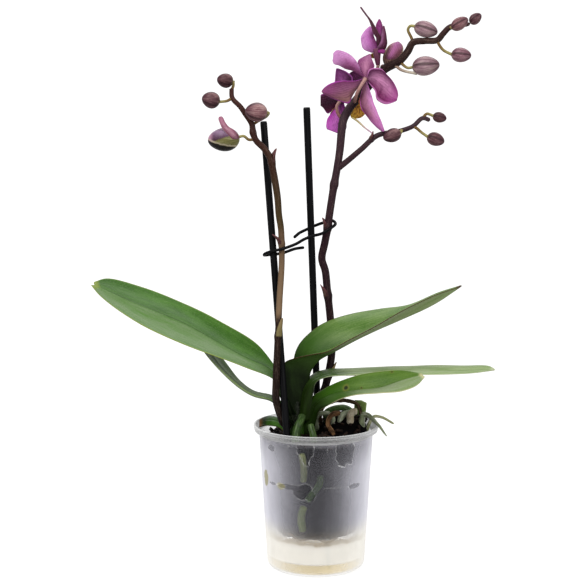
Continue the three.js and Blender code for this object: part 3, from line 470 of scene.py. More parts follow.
# %% Spinning, blending and noise
def turned(piece, profile, steps, finish=0):
    """A closed body of revolution round Z from a profile of radius and height."""
    verts = [piece.mesh.verts.new((radius * MM, 0, height * MM)) for radius, height in profile]
    edges = [piece.mesh.edges.new(pair) for pair in zip(verts, verts[1:])]
    bmesh.ops.spin(
        piece.mesh, geom=verts + edges, cent=(0, 0, 0), axis=(0, 0, 1), dvec=(0, 0, 0),
        angle=2 * math.pi, steps=steps, use_merge=True, use_duplicate=False,
    )
    bmesh.ops.remove_doubles(piece.mesh, verts=piece.mesh.verts[:], dist=1e-6)
    made = piece.fresh()
    for vert in made:
        vert[piece.flow] = vert.co / MM
    piece.dress(made, finish)
    return made


def lerp(a, b, share):
    return a + (b - a) * share


def ripple(place, size, depth):
    """A smooth random length for a place in metres: size and depth in millimetres."""
    return noise.noise(place / (size * MM)) * depth


print("half way from 2 to 3:", lerp(2, 3, 0.5))

# %% [markdown]
# The pot is a moulded cup with a wall of one millimetre, so it is spun from one
# closed profile: up the outside over the stepped lip, then down the inside.

# %% The pot's cup
POT_HEIGHT = 104
LIP_FOOT = 97.6
RIM = 45
RIDGE = 0.6
BODY_TOP = 40.9
BASE = 35.3
ROUND = 5
WALL = 1
FLOOR = 1.2


def outer_radius(z):
    return lerp(BASE, BODY_TOP, (z - ROUND) / (LIP_FOOT - ROUND))


def quarter(radius, centre_radius, centre_z, steps):
    """A quarter circle of the profile, from straight down to straight out."""
    turns = [math.pi / 2 * step / steps for step in range(steps + 1)]
    return [(centre_radius + radius * math.sin(a), centre_z - radius * math.cos(a)) for a in turns]


def pot_profile():
    inner_lip = RIM - RIDGE - WALL
    outside = [(0, 0), *quarter(ROUND, BASE - ROUND, ROUND, 8)]
    outside += [(outer_radius(z), z) for z in range(10, 97, 6)]
    lip = [
        (BODY_TOP - 0.1, LIP_FOOT - 0.3), (BODY_TOP + 0.5, LIP_FOOT + 0.1), (RIM - 1.2, LIP_FOOT + 1.8),
        (RIM - RIDGE - 0.1, LIP_FOOT + 2.2), (RIM - RIDGE, LIP_FOOT + 2.8), (RIM - RIDGE, LIP_FOOT + 4.1),
        (RIM - 0.2, LIP_FOOT + 4.5), (RIM, LIP_FOOT + 4.9), (RIM, POT_HEIGHT - 0.5),
        (RIM - 0.2, POT_HEIGHT - 0.1), (RIM - 0.5, POT_HEIGHT), (inner_lip + 0.2, POT_HEIGHT),
        (inner_lip, POT_HEIGHT - 0.2), (inner_lip, LIP_FOOT + 3), (BODY_TOP - WALL, LIP_FOOT + 0.6),
    ]
    inside = [(outer_radius(z) - WALL, z) for z in range(90, 9, -8)]
    inside += quarter(ROUND - WALL, BASE - ROUND, FLOOR + ROUND - WALL, 6)[::-1]
    return outside + lip + inside + [(0, FLOOR)]


print("points on the pot's profile:", len(pot_profile()))

# %% [markdown]
# The plastic is clear but clouded with moisture, which is why the dark root ball
# behind it looks violet grey. Where wet bark lies against the wall the cloud is wiped
# off, and those clear patches have a bright edge. Under the ball a brown stain sags
# round the wall. All of it is one thing, the alpha: how much the wall hides of what
# stands behind it.

# %% Patches on the front of the pot
# Each patch: x and z of its middle, half its width and half its height.
CLEAR_PATCHES = [
    (19.9, 94, 6.7, 13), (-7.8, 95, 5.6, 11), (-31.9, 91.9, 2.6, 2.3), (-19.5, 66.3, 8.4, 2.3),
    (-10.2, 63.6, 6.6, 5.8), (-4.5, 60.5, 3.4, 3.8), (-31, 66.2, 2.2, 1.1), (26.3, 65.6, 4.4, 1.8),
]
PALE_PATCHES = [(-25.2, 66, 3.1, 2.6), (-35.6, 68.5, 1.5, 6.4)]
WHITE_TICKS = [
    (-20.6, 94.4, 0.3, 2.4), (7.2, 93.6, 0.3, 2.6), (12.7, 66.3, 10, 0.25), (31, 95.6, 0.3, 1.6),
]
# The outer face of the wall is this far out on the floor, and leans out by this share.
WALL_FOOT = 35
WALL_LEAN = 0.0605


def patches(across, up, wobble, table):
    """How far out each point is from the nearest patch: 1 on its edge."""
    nearest = None
    for x, z, half_width, half_height in table:
        aside = (across - x) / half_width
        above = (up - z) / half_height
        reach = (aside * aside + above * above) ** 0.5 + wobble
        nearest = reach if nearest is None else nearest.least(reach)
    return nearest


plastic = Finish("pot_plastic", Roughness=0.3, IOR=1.46, Specular_IOR_Level=0.35)
place = plastic.where()
pot_x, pot_y, pot_z = plastic.axes(place)
radius = (pot_x * pot_x + pot_y * pot_y) ** 0.5
outer_skin = (radius - pot_z * WALL_LEAN - WALL_FOOT).rise(-0.7, -0.4)
lip_cloud = pot_z.rise(96.9, LIP_FOOT)
front = pot_y.rise(-4, -8) * outer_skin * (1 - lip_cloud)
wobble = (plastic.grain(place, 5, 2) - 0.5) * 0.9
edge = patches(pot_x, pot_z, wobble, CLEAR_PATCHES)
clear = edge.rise(1.02, 0.93) * front
bright = edge.band(0.95, 0.99, 1.0, 1.04) * front
pale = patches(pot_x, pot_z, wobble, PALE_PATCHES).rise(1.05, 0.85) * front
tick = patches(pot_x, pot_z, wobble * 0.3, WHITE_TICKS).rise(1.2, 0.4) * front
print("clear patches on the pot:", len(CLEAR_PATCHES))

# %% The cloud in the plastic
# Heights of the fog over the water, of the stain in it, and of the painted highlight lines on the lip and
# rim.
FOG_BAND = (9, 11, 20, 32)
STAIN_BAND = (23, 25, 26.5, 30)
LIP_HIGHLIGHTS = ((97.4, 97.9, 98.4, 99.2), (101.6, 102.1, 102.4, 102.9))
RIM_HIGHLIGHT = (103.1, 103.7)
# The fog is whiter than any screen code: light from all sides is caught in it.
FOG = (0.42, 0.415, 0.46, 1)
FOG_BELOW = (0.56, 0.54, 0.495, 1)
STAIN = (0.2, 0.165, 0.12, 1)
INNER_SHARE = 0.12  # how much of the cloud shows on the inner face of the wall

smear = plastic.streaks(place, 11, 0.4, 4)
facing = 1 - plastic.node("ShaderNodeLayerWeight", {}, {"Blend": 0.5}, "Facing")
slant = (1 - facing * facing) ** 1.35
straight = 1 - slant
cloud = slant * (0.8 + smear * 0.5) + smear * 0.03 - pot_z.rise(74, 97) * slant * 0.35
cloud = cloud + pot_z.band(*FOG_BAND) * straight * 0.55
stain = (pot_z + (smear - 0.5) * 6).band(*STAIN_BAND) * straight * (0.4 + smear) * outer_skin
# Painted highlights: bright lines along the lip's ridges and at the rim.
lines = pot_z.band(*LIP_HIGHLIGHTS[0]) + pot_z.band(*LIP_HIGHLIGHTS[1]) + pot_z.rise(*RIM_HIGHLIGHT)
cloud = cloud + lip_cloud * 0.06 + lines * 0.22
alpha = cloud * (1 - clear * 0.4) + bright * 0.4 + pale * 0.4 + tick * 0.22 + stain * 0.3
plastic.feed("Alpha", (alpha * (INNER_SHARE + outer_skin * (1 - INNER_SHARE))).least(0.96))
milk = plastic.mix(FOG, FOG_BELOW, pot_z.rise(42, 24))
milk = plastic.mix(plastic.mix(milk, STAIN, stain), "c9c295", pale)
plastic.feed("Base Color", plastic.mix(milk, "ffffff", (bright + tick + lip_cloud).least(1)))
plastic.feed("Roughness", 0.22 + smear * 0.25)
plastic.bump(plastic.grain(place, 14, 2), 0.15)
print("the cloud has", len(plastic.tree.nodes), "nodes")

# %% Spin the pot
POT_SIDES = 144
pot = Piece("pot_cup", plastic)
turned(pot, pot_profile(), POT_SIDES)
pot_object = pot.done(["pot"], "pot_plastic")
print("pot faces:", len(pot_object.data.polygons))

# %% [markdown]
# A finger of water stands in the base, tinted pale yellow by the bark. Its edge
# creeps up the wall a little, as water does.

# %% Water
WATER = 10
WATER_FOOT = 1.5
CREEP = 0.4
# The water's rounded lower edge: its radius, and where its middle is, out and up.
HEEL = (3.6, 30.3, 5.2)
WATER_SIDES = 96
water_tint = Finish("water", Roughness=0.08, IOR=1.33, Specular_IOR_Level=0.3)
depth = water_tint.axis(water_tint.where(), "Z")
meniscus = depth.rise(9.1, 9.7)
water_tint.feed("Base Color", water_tint.mix((0.7, 0.57, 0.3, 1), (0.72, 0.66, 0.52, 1), meniscus))
water_tint.feed("Alpha", 0.6 + water_tint.grain(water_tint.where(), 12) * 0.1)
water = Piece("pot_water", water_tint)
water_edge = outer_radius(WATER) - WALL - 0.3
water_profile = [
    (0, WATER_FOOT), (HEEL[1], WATER_FOOT), *quarter(*HEEL, 6)[1:], (water_edge, 9), (water_edge, WATER),
    (water_edge - 0.8, WATER - 0.25), (water_edge - 2.4, WATER - CREEP), (0, WATER - CREEP),
]
turned(water, water_profile, WATER_SIDES)
water.done(["water"], "water")
print("water stands", WATER, "mm high")

# %% [markdown]
# The ball of bark, moss and roots keeps the shape of the pot it grew in, but shrinks
# away from the wall lower down. It is spun from a profile, dented by noise at two
# sizes, grooved where a root is pressed against the wall, and heaped at the right.
# Loose bark chips are small bevelled blocks, dropped by a seeded rule where the top
# of the ball is open. A few pale grains of grit lie among them; they also stand in as
# painted highlights for the glints on the top.

# %% Bark finishes
bark = Finish("bark", Roughness=0.85, Specular_IOR_Level=0.02)
place = bark.where()
fibre = bark.streaks(place, 2.2, 0.35, 5, 0.65)
lump = bark.cells(place, 5)
height = bark.axis(place, "Z")
body = bark.mix(bark.ramp(fibre, (0.3, "070506"), (0.6, "110c0e"), (0.85, "2e2018")), "070607", lump)
body = bark.mix(body, bark.ramp(fibre, (0.35, "3c2a1c"), (0.65, "9c8264")), height.rise(34, 26) * 0.8)
bark.feed("Base Color", body)
bark.feed("Roughness", 0.55 + fibre * 0.4)
bark.bump(fibre, 0.4)

chip_bark = Finish("bark_chip", Roughness=0.75, Specular_IOR_Level=0.08)
place = chip_bark.where()
layer = chip_bark.streaks(place, 1.8, 4, 4)
chip_bark.feed("Base Color", chip_bark.ramp(layer, (0.3, "0d0806"), (0.5, "24160f"), (0.78, "4c3220")))
chip_bark.feed("Roughness", 0.5 + layer * 0.4)
chip_bark.bump(layer, 0.5)

# Pale grit, partly a painted highlight: the grains also stand in for glints on the top of the ball.
grit_and_glint = Finish("grit_and_glint", Roughness=0.9, Specular_IOR_Level=0.03)
grit_and_glint.feed("Base Color", grit_and_glint.mix("d8d4c8", "8d8678", grit_and_glint.grain(grit_and_glint.where(), 0.8)))
print("bark finishes: 3")

# %% The root ball
# Radius and height, from the middle of the foot to the middle of the top.
BALL_PROFILE = [
    (0, 24), (14, 23.5), (28.5, 26), (33, 32), (35.6, 44), (37.2, 68), (38.9, 88), (39.2, 93),
    (35, 96), (27, 97), (18, 97), (9, 96), (0, 96),
]
# Each root pressed against the wall: its skin, its radius, and x and z along it.
WALL_ROOTS = {
    "root_wall_upper": ("root_wet", 2.5, [(-11, 90.5), (-9.5, 85), (-9, 79), (-9.5, 69.5)]),
    "root_wall_middle": ("root_green", 2.6, [(2.5, 75), (2.2, 69.5), (-0.8, 64.5), (-4, 60), (-6.8, 55.5)]),
    "root_wall_lower": ("root_yellow", 2.9, [(-9, 52), (-10.2, 47.5), (-10.6, 41), (-10, 33)]),
}
BALL_SIDES = 150
BALL_STEP = 1.6
GAP = 0.35  # between the ball and the wall
# The heights where its top begins, where its crumbs grow coarser, and where its foot ends.
TOP_FROM, CRUMBS_FROM, FOOT_TO = 94, 92, 34
DENTS = (6, 1.1)  # length and depth
CRUMBS, CRUMBS_TOP = (2.1, 0.2), (2.1, 0.7)
FOOT_WAVES = (9, 1.8)
SHRUNK = 0.9  # how far the dented ball has drawn back from its profile
TOP_LEAN = 0.045
HEAP_X, HEAP_Y, HEAP_WIDE, HEAP_HIGH = 22, 9, 17, 11


def finer(profile, step):
    """The same profile with a point at about every step."""
    made = [profile[0]]
    for (r0, z0), (r1, z1) in zip(profile, profile[1:]):
        count = max(1, round(math.hypot(r1 - r0, z1 - z0) / step))
        made += [(lerp(r0, r1, i / count), lerp(z0, z1, i / count)) for i in range(1, count + 1)]
    return made


def top_rise(x, y):
    """How high the top is heaped at the right and leans there, under its roots."""
    away = ((x - HEAP_X) ** 2 + (y - HEAP_Y) ** 2) / HEAP_WIDE**2
    return TOP_LEAN * (x + y) + HEAP_HIGH * math.exp(-(away**2))


def groove(place):
    """How far the ball gives way to a root pressed against the wall, in metres."""
    deepest = 0
    if place.y < 0:
        for _, thick, path in WALL_ROOTS.values():
            for (x0, z0), (x1, z1) in zip(path, path[1:]):
                start, along = Vector((x0, z0)), Vector((x1 - x0, z1 - z0))
                here = Vector((place.x, place.z)) / MM - start
                share = min(1, max(0, here.dot(along) / along.length_squared))
                away = (here - along * share).length / (thick + 1)
                deepest = max(deepest, (2 * thick + 1) * max(0, 1 - away**4))
    return deepest * MM


ball = Piece("root_ball", bark, chip_bark, grit_and_glint)
for vert in turned(ball, finer(BALL_PROFILE, BALL_STEP), BALL_SIDES):
    out = Vector((vert.co.x, vert.co.y, 0))
    reach = out.length
    crumbs = CRUMBS_TOP if vert.co.z > CRUMBS_FROM * MM else CRUMBS
    rough = ripple(vert.co, *DENTS) + ripple(vert.co, *crumbs)
    room = (outer_radius(vert.co.z / MM) - WALL - GAP) * MM
    if reach > 1e-4:
        wanted = min(reach + (rough - SHRUNK) * MM, room) - groove(vert.co)
        vert.co += out.normalized() * (wanted - reach)
    if vert.co.z < FOOT_TO * MM:
        vert.co.z += ripple(Vector((vert.co.x, vert.co.y, 0)), *FOOT_WAVES) * MM
    if vert.co.z > TOP_FROM * MM:
        vert.co.z += (rough + top_rise(vert.co.x / MM, vert.co.y / MM)) * MM
print("points on the ball:", len(ball.mesh.verts))

# %% Loose chips on the ball
CHIP_BEVEL = 0.22  # as a share of the chip's smallest side
CHIP_GRAIN, CHIP_ROUGH = 1.5, 0.25


def chip(piece, place, size, turn, finish):
    """A bevelled block, roughened by noise, turned and put in its place."""
    made = bmesh.ops.create_cube(piece.mesh, size=1)["verts"]
    bmesh.ops.scale(piece.mesh, verts=made, vec=Vector(size) * MM)
    edges = list({e for v in made for e in v.link_edges})
    bmesh.ops.bevel(
        piece.mesh, geom=edges, offset=CHIP_BEVEL * min(size) * MM, offset_type="OFFSET", segments=1,
        profile=0.5, affect="EDGES", material=-1,
    )
    made = piece.fresh()
    for vert in made:
        spot = vert.co / (CHIP_GRAIN * MM) + place * 900
        vert.co += noise.noise_vector(spot) * CHIP_ROUGH * MM
    bmesh.ops.rotate(piece.mesh, verts=made, cent=(0, 0, 0), matrix=turn)
    bmesh.ops.translate(piece.mesh, verts=made, vec=place)
    piece.dress(made, finish)
    for face in {f for v in made for f in v.link_faces}:
        face.smooth = False


CHIPS = 230
SEED = 11
TOP_RADIUS = 38.5
TOP_HEIGHT = 96.6
CHIP_ROOM = 38.6
SLOPE_FROM, SLOPE = 34, 0.35  # past this radius the top falls to the wall
GRIT_GLINT_EVERY = 29
GRIT_GLINT_SIZE = (1.6, 1.4, 1.2)
shuffle = random.Random(SEED)
for index in range(CHIPS):
    angle = shuffle.uniform(0, 2 * math.pi)
    radius = TOP_RADIUS * math.sqrt(shuffle.uniform(0.02, 1))
    size = (shuffle.uniform(2, 7), shuffle.uniform(1.5, 4), shuffle.uniform(0.8, 2.2))
    x, y = radius * math.cos(angle), radius * math.sin(angle)
    height = TOP_HEIGHT + top_rise(x, y) + shuffle.uniform(-1.2, 1.6)
    height -= max(0, radius - SLOPE_FROM) * SLOPE
    turn = Euler([shuffle.uniform(-0.9, 0.9) for _ in range(2)] + [shuffle.uniform(0, 6.3)])
    finish = 1
    if index % GRIT_GLINT_EVERY == 0:
        size, finish = GRIT_GLINT_SIZE, 2
    if radius + size[0] / 2 < CHIP_ROOM:
        chip(ball, Vector((x, y, height)) * MM, size, turn.to_matrix(), finish)
ball_object = ball.done(["substrate"], "bark")
print("root ball faces:", len(ball_object.data.polygons))

# %% [markdown]
# A moth orchid's leaf is thick, smooth and folded along its rib, with its base
# clasped round the stem. Each leaf is laid between three rails: its far edge, its
# rib and its near edge. A slight arch between them makes the two halves belly, and
# a narrow groove sinks the rib. The sheath and the blade are one sheet, so no seam
# shows where the blade leaves the crown. The green is several greens: broad clouds,
# fibres along the blade, fine pores and a thin pale edge. Painted shade darkens the
# sheath and the rib's groove, and the half turned towards the viewer carries painted
# light and shade.

# %% Leaf green
def leaf_finish(name, deep, fresh, edge, under="8fa468", near=None, base="0f1a04", reach=0.3, specks=()):
    """near is painted light and shade on the half towards the viewer; base is painted shade that darkens
    the sheath as far as reach.
    """
    leaf = Finish(name, Roughness=0.4, Specular_IOR_Level=0.06)
    flow, share, place = leaf.carried("flow"), leaf.carried("share"), leaf.where()
    along, across, side = leaf.axes(share)
    broad = leaf.streaks(flow, 9, 0.3)
    fibres = leaf.streaks(flow, 0.8, 0.05, 2)
    pores = leaf.streaks(flow, 0.5, 0.4)
    clouds = broad * 0.6 + fibres * 0.4
    top = leaf.ramp(clouds, (0.34, deep), (0.66, fresh))
    # Painted light and shade on the half turned towards the viewer.
    if near:
        half = across.rise(-0.02, 0.1) * along.rise(0.12, 0.3)
        top = leaf.mix(top, leaf.ramp(broad * 0.5 + fibres * 0.5, (0.3, fresh), (0.6, near)), half)
    # Darker along the rib: painted shade in its groove.
    top = leaf.mix(top, "2c4a10", across.size().rise(0.045, 0.0) * 0.6)
    body = leaf.mix(top, leaf.ramp(clouds, (0.34, fresh), (0.66, under)), side)
    body = leaf.mix(body, "c4d4ac", pores.rise(0.5, 0.72) * 0.16)
    body = leaf.mix(body, "1e3c06", pores.rise(0.48, 0.3) * 0.25)
    # Painted shade at the sheath: a deep green, then the base colour as far as reach.
    body = leaf.mix(body, "2f5a06", along.rise(reach * 1.6, reach) * 0.85)
    body = leaf.mix(body, base, along.rise(reach, reach * 0.55) * (0.45 + broad * 0.9).least(0.95))
    body = leaf.mix(body, edge, along.rise(0.965, 0.99) * 0.8)
    body = leaf.mix(body, edge, across.size().rise(0.955, 0.995) * along.rise(0.1, 0.3) * 0.9)
    for x, y, z, radius in specks:
        away = leaf.node("ShaderNodeVectorMath", {"operation": "DISTANCE"}, {0: place, 1: (x, y, z)}, 1)
        away = away + broad * 2
        body = leaf.mix(body, "8a8a3a", away.rise(radius * 1.6 + 2.2, radius + 1.2) * 0.6)
        body = leaf.mix(body, "1c2a10", away.rise(radius + 1.8, radius + 0.8) * 0.95)
    leaf.feed("Base Color", body)
    leaf.feed("Roughness", 0.3 + broad * 0.16 + side * 0.2)
    leaf.bump(fibres * 0.3 + broad + pores * 0.25, 0.3)
    return leaf


# Dark spots on the front leaf: the place of each, and its radius.
SPECKS = ((20, -25, 135.5, 1.6), (52, -31, 147.5, 0.5), (8.5, -18, 124, 0.4), (31, -30, 136, 0.3))
# Each leaf: its deep and fresh green and its edge, and where it differs from the others.
# near is painted light and shade on the half towards the viewer; base and reach set
# the painted shade on the sheath.
LEAF_TINTS = {
    "leaf_left_upper": (("2a580a", "568630", "94a440"), {"near": "7c9668", "reach": 0.13}),
    "leaf_left_lower": (("3c5c20", "7f9a60", "93ac5c"), {"under": "c8d2b8", "reach": 0.2}),
    "leaf_right_upper": (("43701a", "86a25c", "4a1a12"), {"under": "b4c290", "base": "0a1402"}),
    "leaf_right_back": (
        ("6c962c", "c0d09c", "d4dcb4"), {"under": "c8d4a8", "base": "182606", "reach": 0.24}
    ),
    "leaf_right_front": (
        ("406810", "749640", "dcd8a4"),
        {"near": "9fae88", "base": "142402", "reach": 0.4, "specks": SPECKS},
    ),
}
leaf_greens = {
    name: leaf_finish(name, *greens, **more) for name, (greens, more) in LEAF_TINTS.items()
}
print("leaf finishes:", len(leaf_greens))

# %% Where the leaves run
# Each blade: its far edge, its rib and its near edge.
LEAVES = {
    "leaf_left_upper": (
        [(-13, 7, 112), (-20, 6, 126), (-26, 6, 138), (-31, 8, 146.5), (-43, 12, 160.5), (-74, 22, 177.5),
         (-99, 30, 188.5), (-128, 34, 199), (-152, 30, 205.5), (-161, 20, 204)],
        [(-18, 0, 110), (-25, -1, 124), (-28, -2, 134.5), (-32, -2, 142.5), (-54, 0, 153), (-93, 8, 174),
         (-112, 11, 182), (-136.5, 14, 191.5), (-160, 16, 202.5)],
        [(-14, -7, 112), (-20, -8, 125), (-25, -9, 133), (-31, -9, 138.5), (-49, -12, 146.5),
         (-66, -14, 153.5), (-91.5, -12, 162.5), (-110.5, -8, 170), (-130, -3, 179.5), (-155, 9, 195.5),
         (-162, 13, 203)],
    ),
    "leaf_left_lower": (
        [(-13, 7, 99), (-19, 8, 110), (-24.5, 8, 118), (-31, 10, 122.5), (-45, 16, 125), (-55, 21, 131.5),
         (-67.5, 26, 146), (-78.5, 30, 159), (-85, 32, 168.5), (-90, 30, 172.5)],
        [(-18, 1, 98), (-25, 1, 109), (-28, 1, 116.5), (-32.5, 1, 121), (-44.5, 3, 124.5),
         (-54.5, 6, 130), (-68.5, 10, 142.5), (-78, 14, 154.5), (-86, 20, 163), (-91.5, 27, 171.5)],
        [(-13, -7, 100), (-20, -7, 111), (-25, -7, 117.5), (-31.5, -7, 122.5), (-44.5, -8, 126),
         (-54, -8, 132), (-68, -5, 144), (-79, 0, 155), (-85, 10, 162.5), (-92, 24, 170.5)],
    ),
    "leaf_right_upper": (
        [(-13, 7, 111), (-13.5, 7, 127), (-16, 5, 142), (-16, 4, 151.5), (-12, 7, 161), (-1.5, 9, 171.5),
         (9, 10, 177.5), (25, 12, 182), (46, 12, 185.5), (67, 9, 189), (88.5, 4, 199), (103, -2, 204.5)],
        [(-6, 1, 110.5), (-5, -1, 125), (-4.5, -4, 141), (1, -6, 150.5), (13, -8, 158), (25, -9, 165),
         (40, -9, 172.5), (60.5, -8, 181.5), (81.5, -6, 191), (103, -3, 204)],
        [(-19, -6, 112.5), (-21.5, -8, 126.5), (-22.8, -9, 141), (-22.8, -11, 150.5), (-17.5, -14, 153.5),
         (-2, -21, 158), (7, -25, 160.5), (18.5, -27, 167), (38.5, -27, 177.5), (59.5, -23, 189),
         (80.5, -15, 198), (102.5, -4, 204)],
    ),
    "leaf_right_back": (
        [(-15, -3, 106), (-11.5, 0, 118.5), (-10, 1, 129.5), (-5, 2, 137.5), (1.5, 3, 141.5),
         (10, 5, 143), (19.5, 9, 142.5), (41.5, 16, 142), (74, 23, 142), (107, 27, 141.5), (127, 27, 141),
         (131, 23, 139.5)],
        [(-9, -7, 107), (-8, -7, 119.5), (-6, -7.5, 129), (-2, -7.5, 136), (5.5, -7, 139.5),
         (19, -4, 140.5), (40, -1, 140), (72, 5, 140), (104.5, 13, 139), (131.5, 22, 139)],
        [(-4, -8, 108), (-3, -10, 120), (-2, -11, 129), (0, -12, 136.5), (8, -16, 141),
         (18.5, -19, 142.5), (39, -19, 143), (70.5, -12, 142), (103.5, 0, 140), (131, 21, 139)],
    ),
    "leaf_right_front": (
        [(-11, -3, 97), (-8.5, -4, 110), (-6.5, -6, 118.5), (-3, -8, 125), (3.5, -11, 130),
         (11.5, -15, 135.5), (29, -22, 143.5), (44, -27, 147), (59, -31, 148.5), (73, -38, 147)],
        [(-7, -5.5, 97), (-3.5, -8, 109.5), (-1.5, -11, 118.5), (3, -15, 124), (12, -21, 129.5),
         (26.5, -28, 133), (43.5, -35, 136.5), (58.5, -39, 142.5), (72.5, -41, 147)],
        [(-3, -9, 98), (0.5, -12, 110.5), (2, -16, 116.5), (8.5, -25, 122.5), (16.5, -33, 128.5),
         (28, -42, 133.5), (43, -49, 136), (57.5, -51, 137.5), (68, -48, 141), (74, -42.5, 146)],
    ),
}
print("leaves:", len(LEAVES))

# %% Lay the leaves between their rails
ARCH = 0.07
RIB_GROOVE = 0.45
RIB_THICK = 2.2
SHEATH_MORE = 1.4
EDGE_THICK = 0.7
UP = (0, 0, 1)


def leaf_surface(rails):
    far, rib, near = (Rail(path) for path in rails)

    @functools.cache
    def cross_section(t):
        middle, a, b = rib.at(t), far.at(t), near.at(t)
        up = rib.heading(t).cross(a - b).normalized()
        return middle, a - middle, b - middle, up

    def surface(t, s):
        middle, to_far, to_near, up = cross_section(t)
        half = to_far if s < 0 else to_near
        share = abs(s)
        lift = half.length * ARCH * math.sin(math.pi * share)
        lift -= RIB_GROOVE * MM * math.exp(-((share / 0.05) ** 2)) * math.sin(math.pi * t)
        place = middle + half * share + up * lift
        return place + up * ripple(place, 22, 0.4) * MM * share * share * min(1, 4 * t)

    return surface, rib.length / MM


def leaf_thickness(t, s):
    """Thickest along the rib and at the sheath, thin at the edges and the tip."""
    rib = lerp(RIB_THICK + SHEATH_MORE * max(0, 1 - 5 * t), EDGE_THICK, abs(s) ** 0.5)
    return lerp(rib, EDGE_THICK, max(0, t - 0.9) * 10)


def add_blade(name, rails, finish, thickness, long, across, half_width, slot="leaf"):
    surface, length = leaf_surface(rails)
    blade = Piece(name + "_blade", finish)
    blade.sheet(surface, thickness, long, across, size=(half_width, length), front=UP)
    made = blade.done([name], slot, smoother=1)
    print(name, round(length), "mm along its middle,", len(made.data.polygons), "faces")


# A leaf's steps along and across, and half its width as its flow has it.
LEAF_GRID = (84, 20, 18)
for name, rails in LEAVES.items():
    add_blade(name, rails, leaf_greens[name], leaf_thickness, *LEAF_GRID)

# %% [markdown]
# The crown under the leaves is a short stem, hidden but for the gaps between the
# sheaths, and its nearly black greens are painted shade. A tube that narrows to a
# rounded end fills it. Beside it stand what is left of two older leaves, a cut stub
# and a strip that has dried to brown at its tip. They are laid between rails as the
# leaves are.

# %% The crown's stem
CROWN_LINE = Rail([(-12, 0, 86), (-13, 0, 100), (-15, 0.5, 113), (-14.5, 1.5, 128)])


def rounded(radius, t, ends=0.06):
    """A radius that closes like a dome at both ends of a stem."""
    from_end = min(t, 1 - t) / ends
    return radius if from_end >= 1 else radius * math.sqrt(max(0.02, 1 - (1 - from_end) ** 2))


def crown_radius(t, angle):
    return rounded(lerp(7.6, 3.4, t * t), t) * (1 + 0.05 * math.sin(3 * angle + 9 * t))


# Nearly black greens: painted shade in the gaps between the sheaths.
crown_painted_shade = leaf_finish("crown_painted_shade", "060a01", "101c04", "1a2a08")
crown = Piece("crown_stem", crown_painted_shade)
crown.stem(CROWN_LINE, crown_radius, sides=28)
crown.done(["crown"], "leaf", smoother=1)
print("crown stands", round(CROWN_LINE.length / MM), "mm")

# %% Remnants of older leaves
STUB = (
    [(29, 14, 96), (28.5, 14, 105), (28, 14, 112), (28.3, 13.5, 118.6)],
    [(32, 11, 96), (32.5, 10.8, 105), (32.8, 10.8, 112), (33, 10.5, 119)],
    [(34.5, 9, 96), (35.5, 9, 105), (36.5, 8.8, 112), (37, 8.8, 117.4)],
)
OLD_STRIP = (
    [(-41, 10, 104.5), (-36, 12, 106.5), (-29, 12.5, 106), (-23, 13, 101.5), (-20.5, 13, 95)],
    [(-41, 6, 102.5), (-36, 7, 104.3), (-29, 8, 103.8), (-23.5, 9, 100), (-21.5, 9, 94.5)],
    [(-41, 3.5, 100.5), (-36, 3.5, 101.6), (-29.5, 4, 101), (-24.5, 5, 98.5), (-22.5, 5.5, 94)],
)
cut_leaf = leaf_finish("leaf_cut", "86b040", "b9d480", "c9d89c", under="9cbc60", base="3f6a14")
old_leaf = leaf_finish("leaf_strip", "3f7322", "5e9434", "7a6a34")
brown_end = old_leaf.axis(old_leaf.carried("share"), "X").rise(0.16, 0.02)
old_leaf.feed("Base Color", old_leaf.mix(old_leaf.fed("Base Color"), "6d4a26", brown_end))


def remnant_thickness(t, s):
    return lerp(2, 1, abs(s) ** 0.5)


REMNANT_GRID = (22, 12, 5)
add_blade("leaf_stub_cut", STUB, cut_leaf, remnant_thickness, *REMNANT_GRID, "leaf_cut")
add_blade("leaf_strip_old", OLD_STRIP, old_leaf, remnant_thickness, *REMNANT_GRID)

# %% [markdown]
# Orchid roots are round and fleshy under a silvery skin that turns green when wet.
# Each is a tube bent onto its rail, swollen and pinched by noise, and the skin's
# streaks run along it. Dried sheaths are the same tube, flattened and ridged.

# %% Root skins
def root_finish(name, deep, skin, streak, rough=0.6, shrink=0.08):
    root = Finish(name, Roughness=rough, Specular_IOR_Level=0.1)
    flow = root.carried("flow")
    streaks = root.streaks(flow, 0.7, shrink)
    patch = root.grain(flow, 4, 3)
    body = root.ramp(patch, (0.3, deep), (0.7, skin))
    root.feed("Base Color", root.mix(body, streak, streaks.rise(0.48, 0.7) * 0.7))
    root.feed("Roughness", (rough - 0.1) + streaks * 0.25)
    root.bump(streaks * 0.6 + patch * 0.6, 0.35)
    return root


# Each skin: its deep colour, its own and that of its streaks, how rough it is, and how
# much the streaks are shrunk along the root.
ROOT_TINTS = {
    "root_silver": ("86946c", "c6ceae", "fafaea"),
    "root_striped": ("66754e", "bcc59c", "f4f4e4", 0.6, 0.03),
    "root_green": ("1c2e0e", "38581c", "748c54", 0.4),
    "root_lying": ("2f4c1c", "688c48", "a4b98c", 0.5),
    "root_tan": ("6b4a2c", "a08258", "c9b48a", 0.7),
    "root_wet": ("5c6b34", "8a9258", "b4b484", 0.35),
    "root_yellow": ("56701c", "84963c", "aca864", 0.35),
    # The root in the water is painted white: a painted highlight.
    "root_drowned_highlight": ("e4fff8", "ffffff", "ffffff", 0.35),
    "root_pale": ("c2b08c", "f3ead2", "a8926c", 0.8, 0.5),
    "root_tip": ("8f9862", "cfd0a2", "efe9c8", 0.7),
    "sheath_dry": ("23160c", "553c24", "c0a880", 0.85, 0.03),
    "sheath_tan": ("3e2714", "8c6340", "c9a276", 0.85, 0.03),
}
root_skins = {name: root_finish(name, *tints) for name, tints in ROOT_TINTS.items()}
print("root skins:", ", ".join(root_skins))

